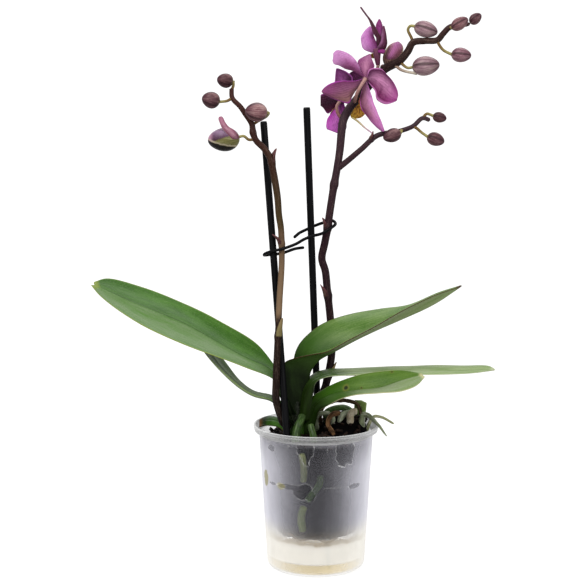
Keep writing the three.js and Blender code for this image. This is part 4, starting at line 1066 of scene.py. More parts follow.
# %% Where the roots and dried sheaths run
# Each root: its skin, its radius at the start and at the end, and its path.
ROOTS = {
    "root_over_rim": (
        "root_striped", 2.7, 0.5,
        [(33, 0, 98), (33, 0, 106.5), (34, 0, 110.2), (37.3, -2, 110.3), (40.8, -8, 108.2),
         (44.6, -14, 105.3), (47.3, -18, 102), (49.8, -20, 99)],
    ),
    "root_thin_pale": (
        "root_tip", 1.4, 0.8,
        [(36.5, 4, 97), (38.5, 5, 103), (42, 7, 107.5), (48, 9, 106.5), (57, 12, 101)],
    ),
    "root_grey_arch": (
        "root_lying", 1.7, 2.7,
        [(8.5, 12.5, 98), (7, 12.5, 108.3), (10, 13, 111), (16, 13, 112.7), (21, 12.5, 112.8),
         (25, 11.5, 110.5), (25.2, 11, 102)],
    ),
    "root_silver_short": (
        "root_silver", 1.9, 1.8,
        [(1, 9, 96), (0, 6, 106), (1.5, 3.5, 110), (5, 2, 111), (9.5, 1, 110.6), (12, 1, 108),
         (12, 1, 99)],
    ),
    "root_silver_loop": (
        "root_silver", 2.4, 2.2,
        [(28, 4.5, 99), (28, 4.5, 107.5), (25.5, 4, 110.3), (21.6, 2, 110.8), (18.5, 0.5, 109.2),
         (17.2, -0.5, 105), (17.2, -0.5, 97)],
    ),
    "root_front_green": (
        "root_green", 2.6, 3.2,
        [(-9.6, -14, 113.5), (-10.9, -17, 110.5), (-13.4, -21, 105.5), (-14.5, -24, 99),
         (-14.5, -25, 94)],
    ),
    "root_stub_front": (
        "root_green", 2.4, 2.7,
        [(-4.5, -16, 107), (-3.5, -18, 104), (-2, -21.5, 99), (-2, -23, 93)],
    ),
    "stump_pale": (
        "root_pale", 2.4, 2.7,
        [(24.4, -3, 98), (24.4, -3, 107), (24.8, -2.5, 111), (26.8, -2.3, 113.1), (29.7, -2.5, 113.2)],
    ),
    "sheath_dry_arch": (
        "sheath_dry", 1.6, 1.2,
        [(4, 12, 97), (3, 11.5, 109), (6, 10.5, 115), (11, 10, 117.7), (17.5, 9.5, 118.9),
         (24.7, 8, 118.6), (29.7, 6.8, 116.7), (31.9, 6.3, 112.5), (31.8, 6.3, 100)],
    ),
    "sheath_dry_curl": (
        "sheath_tan", 1.7, 1.5,
        [(17.5, -3, 112.3), (12.5, -5, 112.2), (9, -6.5, 109), (8.3, -8, 104.6), (10.8, -8.5, 100.9),
         (14.5, -9, 95.5)],
    ),
    "roots_bottom": (
        "root_tan", 1.4, 1.1,
        [(-20, -20, 30), (-12, -24, 25.5), (-2, -26, 27.5), (8, -25, 24), (17, -21, 28)],
    ),
    "root_in_water": (
        "root_drowned_highlight", 1.8, 1.1,
        [(6, -15, 30), (7, -18, 24), (8, -22, 18), (8.5, -26, 11), (9, -26.5, 3.5)],
    ),
}
print("roots and sheaths:", len(ROOTS) + len(WALL_ROOTS))

# %% Lay the roots
LUMP = 6  # the length of a root's lumps


def skin_radius(start, end, line, seed, ridged):
    """A fleshy, slightly lumpy radius, or a thin ridged one for a dried sheath."""
    def radius(t, angle):
        place = Vector((math.cos(angle), math.sin(angle), t * line.length / MM / LUMP + seed))
        lumps = 1 + 0.14 * noise.noise(place)
        if ridged:
            lumps = 0.82 + 0.3 * abs(math.cos(2 * angle + 5 * t)) + 0.25 * noise.noise(place * 2)
        return rounded(lerp(start, end, t), t, 0.07) * lumps
    return radius


# Skins that are only another shade of a material in the record.
SAME_STUFF = {
    "root_striped": "root_silver", "root_lying": "root_silver", "root_wet": "root_green",
    "root_yellow": "root_green", "root_drowned_highlight": "root_green", "root_tan": "root_brown",
    "root_tip": "root_pale", "sheath_tan": "sheath_dry",
}


def add_root(name, skin, start, end, path):
    line = Rail(path)
    root = Piece(name + "_skin", root_skins[skin])
    radius = skin_radius(start, end, line, len(name), skin.startswith("sheath"))
    root.stem(line, radius, sides=18, steps=72)
    root.done([name], SAME_STUFF.get(skin, skin))


for name, root in ROOTS.items():
    add_root(name, *root)
for name, (skin, thick, marks) in WALL_ROOTS.items():
    path = []
    for x, z in marks:
        out = outer_radius(z) - WALL - 0.3 - thick
        path.append((x, -math.sqrt(out * out - x * x), z))
    add_root(name, skin, thick, thick * 0.95, path)
    print(name, "lies", round(-path[0][1], 1), "mm in front of the middle")

# %% [markdown]
# The two flower spikes are the plant's dark arching stems. Their colour changes with
# height, so it comes from a ramp on the height itself, under fine pale specks. Nodes
# swell the stem, and a pointed bract wraps one side of each. Short pedicels, greener
# than the stem, lead to every bud and flower.

# %% Stem colours
def spike_finish(name, *heights):
    """heights: pairs of a height on the part and the stem's colour there."""
    rind = Finish(name, Roughness=0.5, Specular_IOR_Level=0.05)
    place, flow = rind.where(), rind.carried("flow")
    low, high = heights[0][0], heights[-1][0]
    level = (rind.axis(place, "Z") - low) / (high - low)
    level = level + (rind.grain(place, 6) - 0.5) * 0.06
    body = rind.ramp(level, *[((at - low) / (high - low), code) for at, code in heights])
    streaks = rind.streaks(flow, 0.6, 0.07)
    specks = rind.cells(flow, 1.3).rise(0.34, 0.2)
    body = rind.mix(body, "a58c7c", streaks.rise(0.5, 0.75) * 0.2 + specks * 0.12)
    rind.feed("Base Color", body)
    rind.feed("Roughness", 0.38 + streaks * 0.3)
    rind.bump(streaks, 0.2)
    return rind


stem_left = spike_finish(
    "spike_left_skin", (100, "170e0a"), (182, "2c1a14"), (188, "8d7256"), (215, "7f664c"), (240, "6a523c"),
    (248, "4a3a1c"), (270, "44321c"), (286, "3d2418"), (320, "40221c"), (350, "4f2c2a"),
)
stem_right = spike_finish(
    "spike_right_skin", (110, "1c1014"), (150, "2c181e"), (240, "2e1820"), (300, "3d2730"), (330, "44303a"),
    (345, "2c1c1c"), (376, "382420"), (392, "4a2a2c"),
)


def soft_finish(name, base, tip, streak, rough=0.5):
    soft = Finish(name, Roughness=rough, Specular_IOR_Level=0.06)
    share, flow = soft.carried("share"), soft.carried("flow")
    streaks = soft.streaks(flow, 0.5, 0.1)
    body = soft.mix(base, tip, soft.axis(share, "X").rise(0.2, 0.95))
    soft.feed("Base Color", soft.mix(body, streak, streaks.rise(0.45, 0.7) * 0.5))
    soft.bump(streaks, 0.12)
    return soft


pedicel_green = soft_finish("pedicel_green", "7a5a34", "b9b070", "8f7c48")
pedicel_pale = soft_finish("pedicel_pale", "a98f7c", "e8dcc8", "c9b0a0")
pedicel_pink = soft_finish("pedicel_pink", "8a5b4c", "c79a92", "a6707c")
bract_tan = soft_finish("bract_tan", "8d8054", "a08962", "6b5a3a", 0.65)
bract_purple = soft_finish("bract_purple", "4a2a2c", "7d4a50", "a58a72", 0.6)
print("stem finishes: 7")

# %% Where the spikes and their stalks run
SPIKE_LEFT = [
    (-19.5, -8, 103), (-23.5, -12, 107.5), (-25, -14.5, 112), (-28.5, -16, 124.5), (-28.5, -17, 137),
    (-27.5, -18, 164), (-27, -17, 174.5), (-26, -13, 195.5), (-24.5, -7, 221.5), (-25, -5, 244),
    (-26.5, -4, 254.5), (-27.5, -3, 267), (-30.5, -2, 285), (-32.5, -2, 294), (-37, -2, 301),
    (-42.5, -1, 306.5), (-44.5, -1, 311.5), (-45.5, 0, 318), (-50, 0, 325), (-53.5, 0, 330),
    (-59, 0, 336), (-59.5, 0, 343),
]
SPIKE_RIGHT = [
    (-4.5, 4, 113), (1.5, 7, 119.5), (6.5, 10, 128), (8, 11, 133.5), (10, 12, 142.5), (11.5, 14, 153.5),
    (11, 15, 169.5), (10.5, 14, 177), (8, 10, 200), (6.5, 8, 213.5), (4, 7, 222.5), (6, 6, 233.5),
    (8, 5, 244.5), (9.5, 5, 255.5), (12, 6, 272), (14.5, 7, 286), (16.5, 8, 299), (18, 9, 315),
    (19, 10, 320.5), (23, 15, 328), (28, 19, 334), (38, 22, 345.5), (48, 19, 356), (58.5, 11, 362),
    (64, 8, 368.5), (67.5, 6, 374.5), (75.5, 4, 375.5), (84, 2, 376), (88, 1, 380.5), (92, 0, 384.5),
    (99, 0, 386.5), (104, 0, 386.4), (106.4, 0, 387.5),
]
SIDE_BRANCH = [
    (14.5, 7, 286), (23, 4, 293), (31.5, 0, 300.5), (42.5, -3, 310), (57.5, -5, 313), (67, -6, 316.5),
    (73.5, -6, 322), (79, -6, 320.5),
]
LEFT_PEDICELS = [
    [(-59.5, 0, 341), (-58.2, 0, 344.8), (-58.2, 0, 346.8)],
    [(-59, 0, 336), (-62.5, -1, 334), (-67.8, -2, 333.3)],
    [(-45.5, 0, 317), (-41, 1.5, 320), (-35.5, 1.5, 323), (-33.6, -3, 325.5), (-34.3, -5.2, 325.7)],
    [(-43, -1, 307.5), (-47.5, -1, 307), (-51, -2, 309.5), (-54.4, -2, 309)],
]
RIGHT_PEDICELS = [
    [(67.5, 6, 374.5), (66.3, 8, 378), (64, 9, 383.5), (65.5, 8, 386), (68.2, 6.3, 385.7)],
    [(58.5, 11, 362), (61, 9, 359), (64, 7, 357), (67.2, 6, 357.4)],
    [(84, 2, 376), (85, 1, 373), (88, 0, 369), (93.7, 0, 366.1)],
    [(73.5, -6, 322), (76.5, -6, 325), (80.7, -6, 323.7)],
    [(67, -6, 316.5), (69.5, -7, 315), (73, -8, 312), (76.8, -8, 309.4)],
    [(57.5, -5, 313), (59, -7.5, 313.5), (58.4, -8.6, 312.6)],
    [(92.5, 0, 384.8), (92.8, -2.2, 384.4), (93.6, -4, 384)],
    [(55.5, 12, 359), (59, 10, 356), (63, 7, 354.4), (69, 5, 353.2)],
]
FLOWER_STALKS = [
    [(28, 18, 334), (27, 9, 333.5), (27, 1, 335), (28, -4.5, 339.5), (31, -5, 345), (33.3, -0.9, 348.4)],
    [(19, 10, 320.5), (15.5, 14, 325), (14.5, 18, 330), (16.7, 21.6, 333.6)],
    [(42.5, 18, 351.5), (43, 16.8, 355.5), (43.5, 15.8, 358.2)],
    [(48, 18, 356), (46.6, 20, 358.2), (47.6, 21.3, 358.9), (48.8, 21.3, 358.6)],
]
print("stalks:", len(LEFT_PEDICELS) + len(RIGHT_PEDICELS) + len(FLOWER_STALKS))

# %% How thick the spikes are
PEDICEL = 1.1
FLOWER_STALK = PEDICEL * 1.15
NODE_LENGTH = 0.008  # how far a node's swelling reaches along the stem, as a share of it
# How thick each spike is at shares of its length, in pairs of share and radius.
LEFT_THICKNESS = [(0, 3), (0.15, 2.6), (0.3, 2.2), (0.5, 2.1), (0.72, 2.5), (0.85, 2.2), (1, 1.6)]
RIGHT_THICKNESS = [(0, 2.8), (0.55, 2.7), (0.68, 3.2), (0.8, 3), (0.88, 2.4), (0.96, 2), (1, 1.2)]


def thickness(pairs):
    def radius(t):
        for (low, thin), (high, thick) in zip(pairs, pairs[1:]):
            if t <= high:
                return lerp(thin, thick, (t - low) / (high - low))
        return pairs[-1][1]
    return radius


left_radius, right_radius = thickness(LEFT_THICKNESS), thickness(RIGHT_THICKNESS)


def branch_radius(t):
    return lerp(2.2, 1.5, t)


def with_nodes(radius, nodes):
    """The stem's radius, swollen at each node."""
    def swollen(t, angle):
        swell = sum(math.exp(-(((t - at) / NODE_LENGTH) ** 2)) for at in nodes)
        return rounded(radius(t), t, 0.004) * (1 + 0.2 * swell)
    return swollen


print("left spike's radius at its middle:", round(left_radius(0.5), 2), "mm")

# %% Bracts and stalks
WRAP = 1.5  # how far round the stem half a bract reaches at its foot, in radians
FLARE = 1.2  # how far a stalk runs on into its bud


def bract(piece, line, radius, at, length, turn, spread, finish):
    """A pointed scale that wraps the stem above a node and stands off by spread."""
    start, along = line.at(at), line.heading(at)
    side = Vector((math.cos(turn), math.sin(turn), 0))
    side = (side - along * side.dot(along)).normalized()
    across = along.cross(side)

    def surface(t, s):
        angle = s * WRAP * (1 - 0.85 * t * t)
        reach = radius(at) + 0.25 + spread * t * t
        turned_out = side * math.cos(angle) + across * math.sin(angle)
        return start + (along * length * t + turned_out * reach) * MM

    piece.sheet(surface, lambda t, s: lerp(0.8, 0.45, abs(s)), 14, 10, finish, size=(3, length))


def bracts(piece, line, radius, table):
    for row in table:
        bract(piece, line, radius, *row)


def pedicels(piece, table, radius, finish):
    """Stalks that flare a little where they run into their bud."""
    for path in table:
        before, last = Vector(path[-2]), Vector(path[-1])
        line = Rail([*path[:-1], last, last + (last - before).normalized() * FLARE])
        piece.stem(line, lambda t, a: radius * (1 - 0.15 * t + 0.3 * t**10), finish, sides=12, steps=24)


print("bracts and stalks can be made")

# %% The left and the right spike
# The numbers of the finishes on a spike, after the stem's own.
GREEN, TAN, PURPLE, PINK, PALE = 1, 2, 3, 4, 5
# Where the nodes are, as shares of the stem's length.
LEFT_NODES = (0.28, 0.535, 0.76, 0.86)
RIGHT_NODES = (0.085, 0.26, 0.41, 0.5)
BRANCH_NODES = (0.42,)
# Each bract: its node, its length, the way it faces, how far its tip stands off, and
# its finish.
LEFT_BRACTS = [(0.28, 13, -0.6, 0.5, TAN), (0.535, 7, math.pi, 4, PURPLE), (0.76, 9, 0.3, 3, PURPLE)]
RIGHT_BRACTS = [(0.085, 11, 0, 0.6, TAN), (0.26, 9, 3.4, 1.5, PURPLE), (0.41, 6, 3, 2, PURPLE)]
BRANCH_BRACTS = [(0.42, 5, 3, 1.5, PURPLE)]
left_line, right_line, branch_line = Rail(SPIKE_LEFT), Rail(SPIKE_RIGHT), Rail(SIDE_BRANCH)

left = Piece("spike_left_stem", stem_left, pedicel_green, bract_tan, bract_purple)
left.stem(left_line, with_nodes(left_radius, LEFT_NODES), sides=18, steps=300)
pedicels(left, LEFT_PEDICELS, PEDICEL, GREEN)
bracts(left, left_line, left_radius, LEFT_BRACTS)
left.done(["spike_left"], "spike")

right = Piece(
    "spike_right_stem", stem_right, pedicel_green, bract_tan, bract_purple, pedicel_pink, pedicel_pale
)
right.stem(right_line, with_nodes(right_radius, RIGHT_NODES), sides=18, steps=360)
right.stem(branch_line, with_nodes(branch_radius, BRANCH_NODES), sides=14, steps=90)
pedicels(right, RIGHT_PEDICELS[:-1], PEDICEL, GREEN)
pedicels(right, RIGHT_PEDICELS[-1:], PEDICEL, PALE)
pedicels(right, FLOWER_STALKS, FLOWER_STALK, PINK)
bracts(right, right_line, right_radius, RIGHT_BRACTS)
bracts(right, branch_line, branch_radius, BRANCH_BRACTS)
right.done(["spike_right"], "spike")
print("spikes:", round(left_line.length / MM), "and", round(right_line.length / MM), "mm along")

# %% [markdown]
# Both spikes lean on straight black stakes. A stake is drawn plastic with fine lines
# along it and a flat cut top. The tie is a soft coated wire, bent by hand in a loose
# S round stake and stem.

# %% Stakes
def black_finish(name, rough, lines):
    black = Finish(name, Roughness=rough, Specular_IOR_Level=0.035)
    flow = black.carried("flow")
    drawn = black.streaks(flow, 0.5, lines)
    black.feed("Base Color", black.ramp(drawn, (0.35, "030304"), (0.7, "1c1c1f")))
    black.feed("Roughness", rough + drawn * 0.25)
    black.bump(drawn, 0.15)
    return black


stake_black = black_finish("stake_plastic", 0.3, 0.02)
wire_black = black_finish("tie_wire", 0.35, 1)
STAKE = 2.5
STAKES = {
    "stake_left": [(-19, -25.3, 75), (-21, -21, 101.5), (-37.5, 14, 319.5)],
    "stake_right": [(4, 22.5, 42), (1.5, 18.5, 106.5), (-7, 4, 329.5)],
}


def stake_radius(t, angle):
    """The stake's radius, drawn in a little at its two cut ends."""
    return STAKE * min(1, 0.88 + min(t, 1 - t) * 120)


for name, path in STAKES.items():
    stake = Piece(name + "_rod", stake_black)
    stake.stem(Rail(path), stake_radius, sides=24, steps=240)
    stake.done([name], "stake_plastic")
print("stakes:", len(STAKES))

# %% The tie
WIRE = 1.1
TIE = [
    (-16, 6, 237.5), (-12, 10.5, 240.5), (-6.5, 13, 243), (-1, 13, 245.5), (5.5, 10.3, 248),
    (11.5, 7.9, 249.5), (13.5, 4, 247.5), (10.5, 1, 245), (4, 1, 241), (-3.5, 4.2, 238.7), (-9, 3, 236.5),
    (-14.5, -4, 234), (-24, -9.6, 231), (-31, -4.5, 229), (-36, -2, 227), (-37, 1.5, 225.5),
    (-33, 5, 225.5), (-24, -0.5, 227.2), (-15, 2, 230), (-8.5, 1, 231),
]
tie = Piece("tie_wire_bent", wire_black)
tie.stem(Rail(TIE), lambda t, a: rounded(WIRE, t, 0.008), sides=12, steps=260)
tie.done(["tie"], "tie_wire")
print("points along the tie:", len(TIE))

# %% [markdown]
# A closed bud is three sepals folded over each other, meeting in seams that run from
# the stalk to the tip. A ball is stretched into an egg and the seams are pressed in
# by a formula on the angle round it. The skin is mauve over brown, streaked along.

# %% Bud skin
def bud_finish(name, deep, skin, bloom_tint):
    bud = Finish(name, Roughness=0.45, Specular_IOR_Level=0.07)
    flow, share = bud.carried("flow"), bud.carried("share")
    along, turn = bud.axis(share, "X"), bud.axis(share, "Y")
    seam = (turn * (1.5 * math.pi) + math.pi / 2).wave().size()
    streaks = bud.streaks(flow, 0.55, 0.12, 4)
    patch = bud.streaks(flow, 3, 0.5, 2)
    body = bud.ramp(patch * 0.45 + streaks * 0.55, (0.38, deep), (0.5, skin), (0.64, bloom_tint))
    body = bud.mix(body, "4a1a30", along.rise(0.62, 1) * 0.6)
    body = bud.mix(body, "2c0f1a", seam.rise(0.93, 1.0) * 0.75)
    bud.feed("Base Color", bud.mix(body, "8b7a55", along.rise(0.16, 0.0) * 0.6))
    bud.feed("Roughness", 0.35 + streaks * 0.25)
    bud.bump(streaks, 0.2)
    return bud


# Each skin: its deep colour, its own and the bloom on it.
BUD_TINTS = {
    "bud_left_skin": ("5a3038", "93656a", "c3a09c"),
    "bud_right_skin": ("5c3444", "976a76", "cba8ac"),
    "bud_side_skin": ("3a1c24", "674248", "a07c7c"),
    "bud_young_skin": ("2e1418", "5c3a3e", "866264"),
    "bud_ripe_skin": ("74505a", "ab8892", "d2b8b0"),
}
bud_skins = {name: bud_finish(name, *tints) for name, tints in BUD_TINTS.items()}
print("bud skins:", len(bud_skins))

# %% Closed buds
SEAT = 0.9  # how far a bud sits down over the end of its stalk
# Each bud: the places of its base and its tip, its width and its skin.
BUDS = {
    "bud_left_tip": ((-59.2, 0, 347.4), (-69.6, -1, 349), 10, "bud_young_skin"),
    "bud_left_second": ((-68.5, -2, 333.5), (-80, -4, 336), 11.5, "bud_side_skin"),
    "bud_left_third": ((-35.6, -5.8, 325.7), (-49.5, -11, 327), 13, "bud_left_skin"),
    "bud_right_first": ((69, 6, 385.5), (84, 2, 381), 11, "bud_ripe_skin"),
    "bud_right_second": ((68, 6, 357.5), (85.5, 0, 359), 13.3, "bud_ripe_skin"),
    "bud_right_third": ((94.5, 0, 366), (107, -4, 365), 10, "bud_right_skin"),
    "bud_right_fourth": ((93.9, -4.6, 384), (103.5, -9.5, 390), 8.5, "bud_left_skin"),
    "bud_right_tip": ((107, 0, 388), (113.5, -2, 393.5), 7.4, "bud_side_skin"),
    "bud_side_first": ((57.5, -9.3, 312), (46, -12, 308), 9.4, "bud_side_skin"),
    "bud_side_tip": ((81.5, -6, 323.3), (90, -8, 321.5), 7.2, "bud_young_skin"),
    "bud_side_lower": ((77.5, -8, 309), (88.5, -10, 305.5), 9.2, "bud_side_skin"),
}


def egg(base, tip, width):
    """Turns a point of the unit ball into its place on a bud with three seams."""
    base, tip = Vector(base), Vector(tip)
    base -= (tip - base).normalized() * SEAT
    turn = Vector((0, 0, 1)).rotation_difference(tip - base)
    length = (tip - base).length

    def shape(unit):
        share = (unit.z + 1) / 2
        angle = math.atan2(unit.y, unit.x)
        plump = 1.06 - 0.24 * share * share
        seam = 1.03 - 0.07 * abs(math.cos(1.5 * angle)) ** 10 * math.sin(math.pi * share)
        reach = width / 2 * plump * seam
        lean = Vector((unit.x * reach, unit.y * reach, share * length))
        return (base + turn @ lean) * MM

    return shape


for name, (base, tip, width, skin) in BUDS.items():
    closed = Piece(name + "_skin", bud_skins[skin])
    closed.ball(egg(base, tip, width), rings=20, sides=36)
    closed.done([name], "bud")
print("closed buds:", len(BUDS))

# %% [markdown]
# Petals and sepals are thin fleshy sheets, laid between a left edge, a middle line
# and a right edge by a parabola across them. They are stained rather than painted:
# one colour runs into the next from edge to edge, darker veins fan out from the
# base, and the tip has its own tint. The colours across also carry painted light and
# shade: a lit band on some petals, painted shade where a petal lies in shadow,
# patches of painted shade and darker backs. Every petal is a little different, so a
# table gives each one its colours.

# %% Petal colours
def petal_finish(name, left, middle, right, tip, vein, stripes=0.5, edge=None):
    petal = Finish(name, Roughness=0.45, Specular_IOR_Level=0.07)
    share, flow = petal.carried("share"), petal.carried("flow")
    along, across, side = petal.axes(share)
    cloud = petal.grain(flow, 5, 3)
    band = across * 0.5 + 0.5 + (cloud - 0.5) * 0.3
    body = petal.ramp(band, (0.12, left), (0.5, middle), (0.88, right))
    body = petal.mix(body, tip, (along + (cloud - 0.5) * 0.25).rise(0.55, 0.95) * 0.75)
    fan = (across * 34 + (petal.grain(flow, 7, 2) - 0.5) * 9).wave() * 0.5 + 0.5
    speckle = petal.grain(flow, 0.5, 2)
    fine = petal.streaks(flow, 0.35, 0.06)
    body = petal.mix(body, vein, fan.rise(0.35, 1) * fine.rise(0.3, 0.6) * stripes * (1 - along * 0.5))
    body = petal.mix(body, "eebcea", speckle.rise(0.55, 0.75) * 0.18)
    body = petal.mix(body, vein, fine.rise(0.5, 0.72) * 0.35)
    body = petal.mix(body, vein, along.rise(0.4, 0.0) * 0.6)
    # Patches of painted shade.
    body = petal.mix(body, vein, cloud.rise(0.5, 0.7) * 0.35)
    if edge:
        body = petal.mix(body, edge, across.size().rise(0.8, 0.97) * 0.8)
    # The back is darker: painted shade.
    petal.feed("Base Color", petal.mix(body, vein, side * 0.25))
    petal.feed("Roughness", 0.4 + fine * 0.25)
    petal.bump(fine * 0.5 + fan * 0.5, 0.12)
    return petal


def spotted_finish(name, base, spots, tip):
    lip = Finish(name, Roughness=0.4, Specular_IOR_Level=0.1)
    share, flow = lip.carried("share"), lip.carried("flow")
    dots = lip.cells(flow, 1.2).rise(0.44, 0.34)
    blotch = lip.grain(flow, 2.2, 3).rise(0.46, 0.6)
    body = lip.mix(base, tip, lip.axis(share, "X").rise(0.6, 1) * 0.7)
    lip.feed("Base Color", lip.mix(body, spots, (dots * 0.6 + blotch * 0.6).least(0.9)))
    lip.bump(lip.grain(flow, 1, 3), 0.1)
    return lip


heart_plum = soft_finish("flower_heart", "6c3450", "8d5570", "4b2037")
heart_cream = soft_finish("flower_sepal", "8c5c60", "c8a080", "ecdca8")
print("finishes of the flowers' hearts: 2")

# %% Where the petals run
# Each petal: its left edge, its middle line and its right edge.
PETALS = {
    "bloom_behind": [
        (
            [(32, 4, 351), (28.5, 8, 361), (24, 10, 366), (19.5, 11, 368.5), (14, 11, 369.5),
             (11.5, 10, 367)],
            [(32.8, 3.5, 350.3), (27, 5, 358.5), (22, 6, 361), (17, 7, 363), (11.5, 8, 364.5)],
            [(33.5, 3, 349.5), (25.5, 3, 354.5), (20, 3, 356), (15.5, 4, 358.5), (12, 5, 359.5),
             (11, 6.5, 362)],
        ),
        (
            [(33, 4, 350), (30, 8, 356.5), (29, 12, 362), (33, 14, 365), (37.5, 15, 367)],
            [(34, 4, 350.3), (34, 8, 355), (35, 11, 360), (36.5, 14, 364), (37.8, 15.5, 367)],
            [(35, 4, 350), (38, 8, 355), (41, 11, 358), (39, 14, 364), (38.2, 15, 367)],
        ),
        (
            [(35, 3.5, 350), (37, 7, 356), (40.5, 8, 357), (45.5, 9, 356.5), (49.5, 10, 352.5),
             (54, 10, 347.5), (57, 9, 341.5), (57.5, 8.5, 337.5)],
            [(35.3, 3, 349), (40, 4, 350), (44.5, 5, 348.5), (49.5, 6, 344.5), (53.5, 6, 339.5),
             (57, 7, 336)],
            [(35, 3, 348), (38.5, 2, 343.5), (41, 2, 340), (41.5, 2, 336), (43.5, 3, 333.5),
             (48, 4, 331.5), (53, 5, 332.5), (56.5, 6.5, 334)],
        ),
        (
            [(34, 3, 350), (27, 2, 348), (17.5, 0, 348), (10.5, -2, 346.5), (5.5, -3, 343.5),
             (3.5, -3.5, 341)],
            [(33.5, 2.5, 348.5), (27.5, 0, 344.5), (19, -2, 341.5), (11, -4, 340), (3.3, -4, 340)],
            [(33.5, 2.5, 347), (27.5, 1, 341.5), (25, 1, 337), (22.5, 1, 332), (16.5, 0, 333.5),
             (9, -2, 336.5), (4.5, -3.5, 339)],
        ),
        (
            [(33.5, 2.5, 348), (31, 0, 339.5), (30, -2, 334), (31, -4, 328.5), (34.5, -5, 323.5),
             (38.5, -6, 318.5), (43.5, -6, 314), (46, -6, 312.5)],
            [(34.2, 2, 348), (33.5, -2, 339), (34.5, -4, 332.5), (37, -6, 326.5), (40.5, -7, 321),
             (44.5, -7, 315.5), (46.8, -6.5, 312.5)],
            [(35, 2.5, 348), (37, 0, 341), (39, -2, 336), (40.5, -4, 330.5), (42.5, -5, 325.5),
             (45, -6, 319.5), (47.2, -6, 313)],
        ),
    ],
    "bloom_side": [
        (
            [(18, 24, 336), (11.5, 23, 338.5), (5.5, 22, 339.5), (3, 22, 338.5)],
            [(18, 24, 334), (12, 22, 334), (6.5, 21, 332), (3, 21, 332.5)],
            [(18, 24, 332.5), (14, 22, 330), (8.5, 20.5, 325), (5, 20.5, 329), (3, 21, 331)],
        ),
        (
            [(17, 24, 333), (11.5, 22, 326.5), (8, 20, 321.5), (7, 19, 316.5), (7.5, 19, 314)],
            [(18, 24, 333), (15.5, 21, 324), (13.5, 19, 318), (11.5, 18.5, 312.5)],
            [(20, 24, 333), (21.5, 22, 325), (22, 20, 318.5), (21, 19, 313.5), (15.5, 18.5, 311)],
        ),
        (
            [(17, 24.5, 335), (13.5, 26, 345), (13.5, 27, 350.5), (14, 28, 355), (14.5, 28, 357.5)],
            [(18.5, 24.5, 335), (18.5, 26, 345), (18, 28, 350.5), (16, 29, 355), (14.8, 28.5, 357.3)],
            [(20, 24.5, 335), (25.5, 27, 345), (26.5, 28.5, 350.5), (22, 29, 355), (15.5, 28.5, 357.5)],
        ),
        (
            [(19, 25, 336), (22, 28.5, 347), (24, 30.5, 354), (29, 31.5, 356.5)],
            [(19.5, 25.5, 335), (24.5, 29.5, 345), (28, 31.5, 351), (32.5, 32, 355.5)],
            [(20, 25, 334), (27, 28.5, 342), (32, 30.5, 347.5), (34.5, 31.5, 353)],
        ),
    ],
    "bloom_top": [
        (
            [(43, 13.5, 371), (42, 12, 378), (39.5, 11, 381.5), (38, 10.5, 386), (36, 10, 391),
             (33, 10, 395), (30.2, 10, 399)],
            [(44, 13, 371), (43.5, 11, 378.5), (41.5, 10, 381.5), (39.5, 9.5, 385.5), (37.5, 9.5, 390),
             (34, 9.5, 395), (30.6, 9.8, 399.3)],
            [(45, 13.5, 371), (45.5, 12.5, 378.5), (43.5, 11.5, 381.5), (41.5, 11, 385), (39, 10.5, 389),
             (34.5, 10, 394.5), (31, 10, 399.5)],
        ),
        (
            [(39.5, 14, 367.5), (33.5, 15, 370), (31.5, 16, 374.5), (31.5, 17, 378.5), (33.5, 18, 382.5),
             (36.5, 18, 385.5), (38, 18, 386.5)],
            [(41, 13, 369.5), (37, 13.5, 374.5), (36, 14, 379), (36.5, 15, 382.5), (38.5, 17, 386)],
            [(43, 13.5, 371), (42.5, 13.5, 374.5), (41, 14, 378), (40, 15, 381.5), (39, 16, 385)],
        ),
        (
            [(41.5, 16, 370), (42.5, 20, 381), (42, 21, 386), (42.5, 21, 388.5), (44.3, 21.5, 391.5)],
            [(42.5, 15.5, 370), (45, 19, 381), (45, 20, 386), (44.6, 21, 391.7)],
            [(43.5, 16, 370), (46.5, 20, 380.5), (47, 21, 385.5), (46.5, 21.5, 388.5), (45, 21.5, 391.5)],
        ),
        (
            [(42, 13, 370), (44.5, 12.5, 374), (45.5, 12.5, 376.5), (46, 13, 381.5), (46.8, 13, 386.5)],
            [(42.5, 12.5, 369), (46, 10.5, 373), (47.5, 10.5, 378), (47.5, 11.5, 383), (47.2, 13, 386.5)],
            [(43, 13, 367.5), (47.5, 12, 369), (49.5, 12, 372.5), (49.5, 12.5, 378), (47.6, 13, 386.5)],
        ),
        (
            [(42.5, 13.5, 368), (45.5, 10, 367), (46.8, 10, 366.7)],
            [(42.5, 13, 369), (46, 9, 368.5), (47.6, 9.3, 367.7)],
            [(43, 13, 370), (47, 10, 370), (48.4, 10, 369)],
        ),
    ],
    "bloom_half_open": [
        (
            [(49.5, 20, 360.5), (49, 18.5, 366), (50.5, 18.5, 371.5), (53, 19.5, 374),
             (57.5, 21.5, 375.8)],
            [(50.3, 19.5, 360.5), (52, 15.6, 365.5), (55, 16, 370.5), (57, 18.5, 374), (58, 21.2, 375.8)],
            [(51, 20, 360.5), (56, 18.5, 362.5), (60, 18.5, 366), (61.8, 19.5, 370), (61, 20.5, 373.5),
             (58.5, 21.5, 375.8)],
        ),
        (
            [(51, 22.5, 360.5), (56, 24.5, 362.5), (60.5, 25, 366), (62, 24, 370), (61, 23, 373.5),
             (58.6, 22.5, 375.6)],
            [(50.3, 23, 360.5), (53, 27.6, 366), (55.5, 27.6, 371), (57.5, 25, 374.5), (58, 22.8, 375.8)],
            [(49.5, 22.5, 360.5), (49, 24.5, 366), (50.5, 25, 371.5), (53.5, 24, 374.5),
             (57.4, 22.5, 375.6)],
        ),
    ],
}
print("petals:", sum(len(petals) for petals in PETALS.values()))
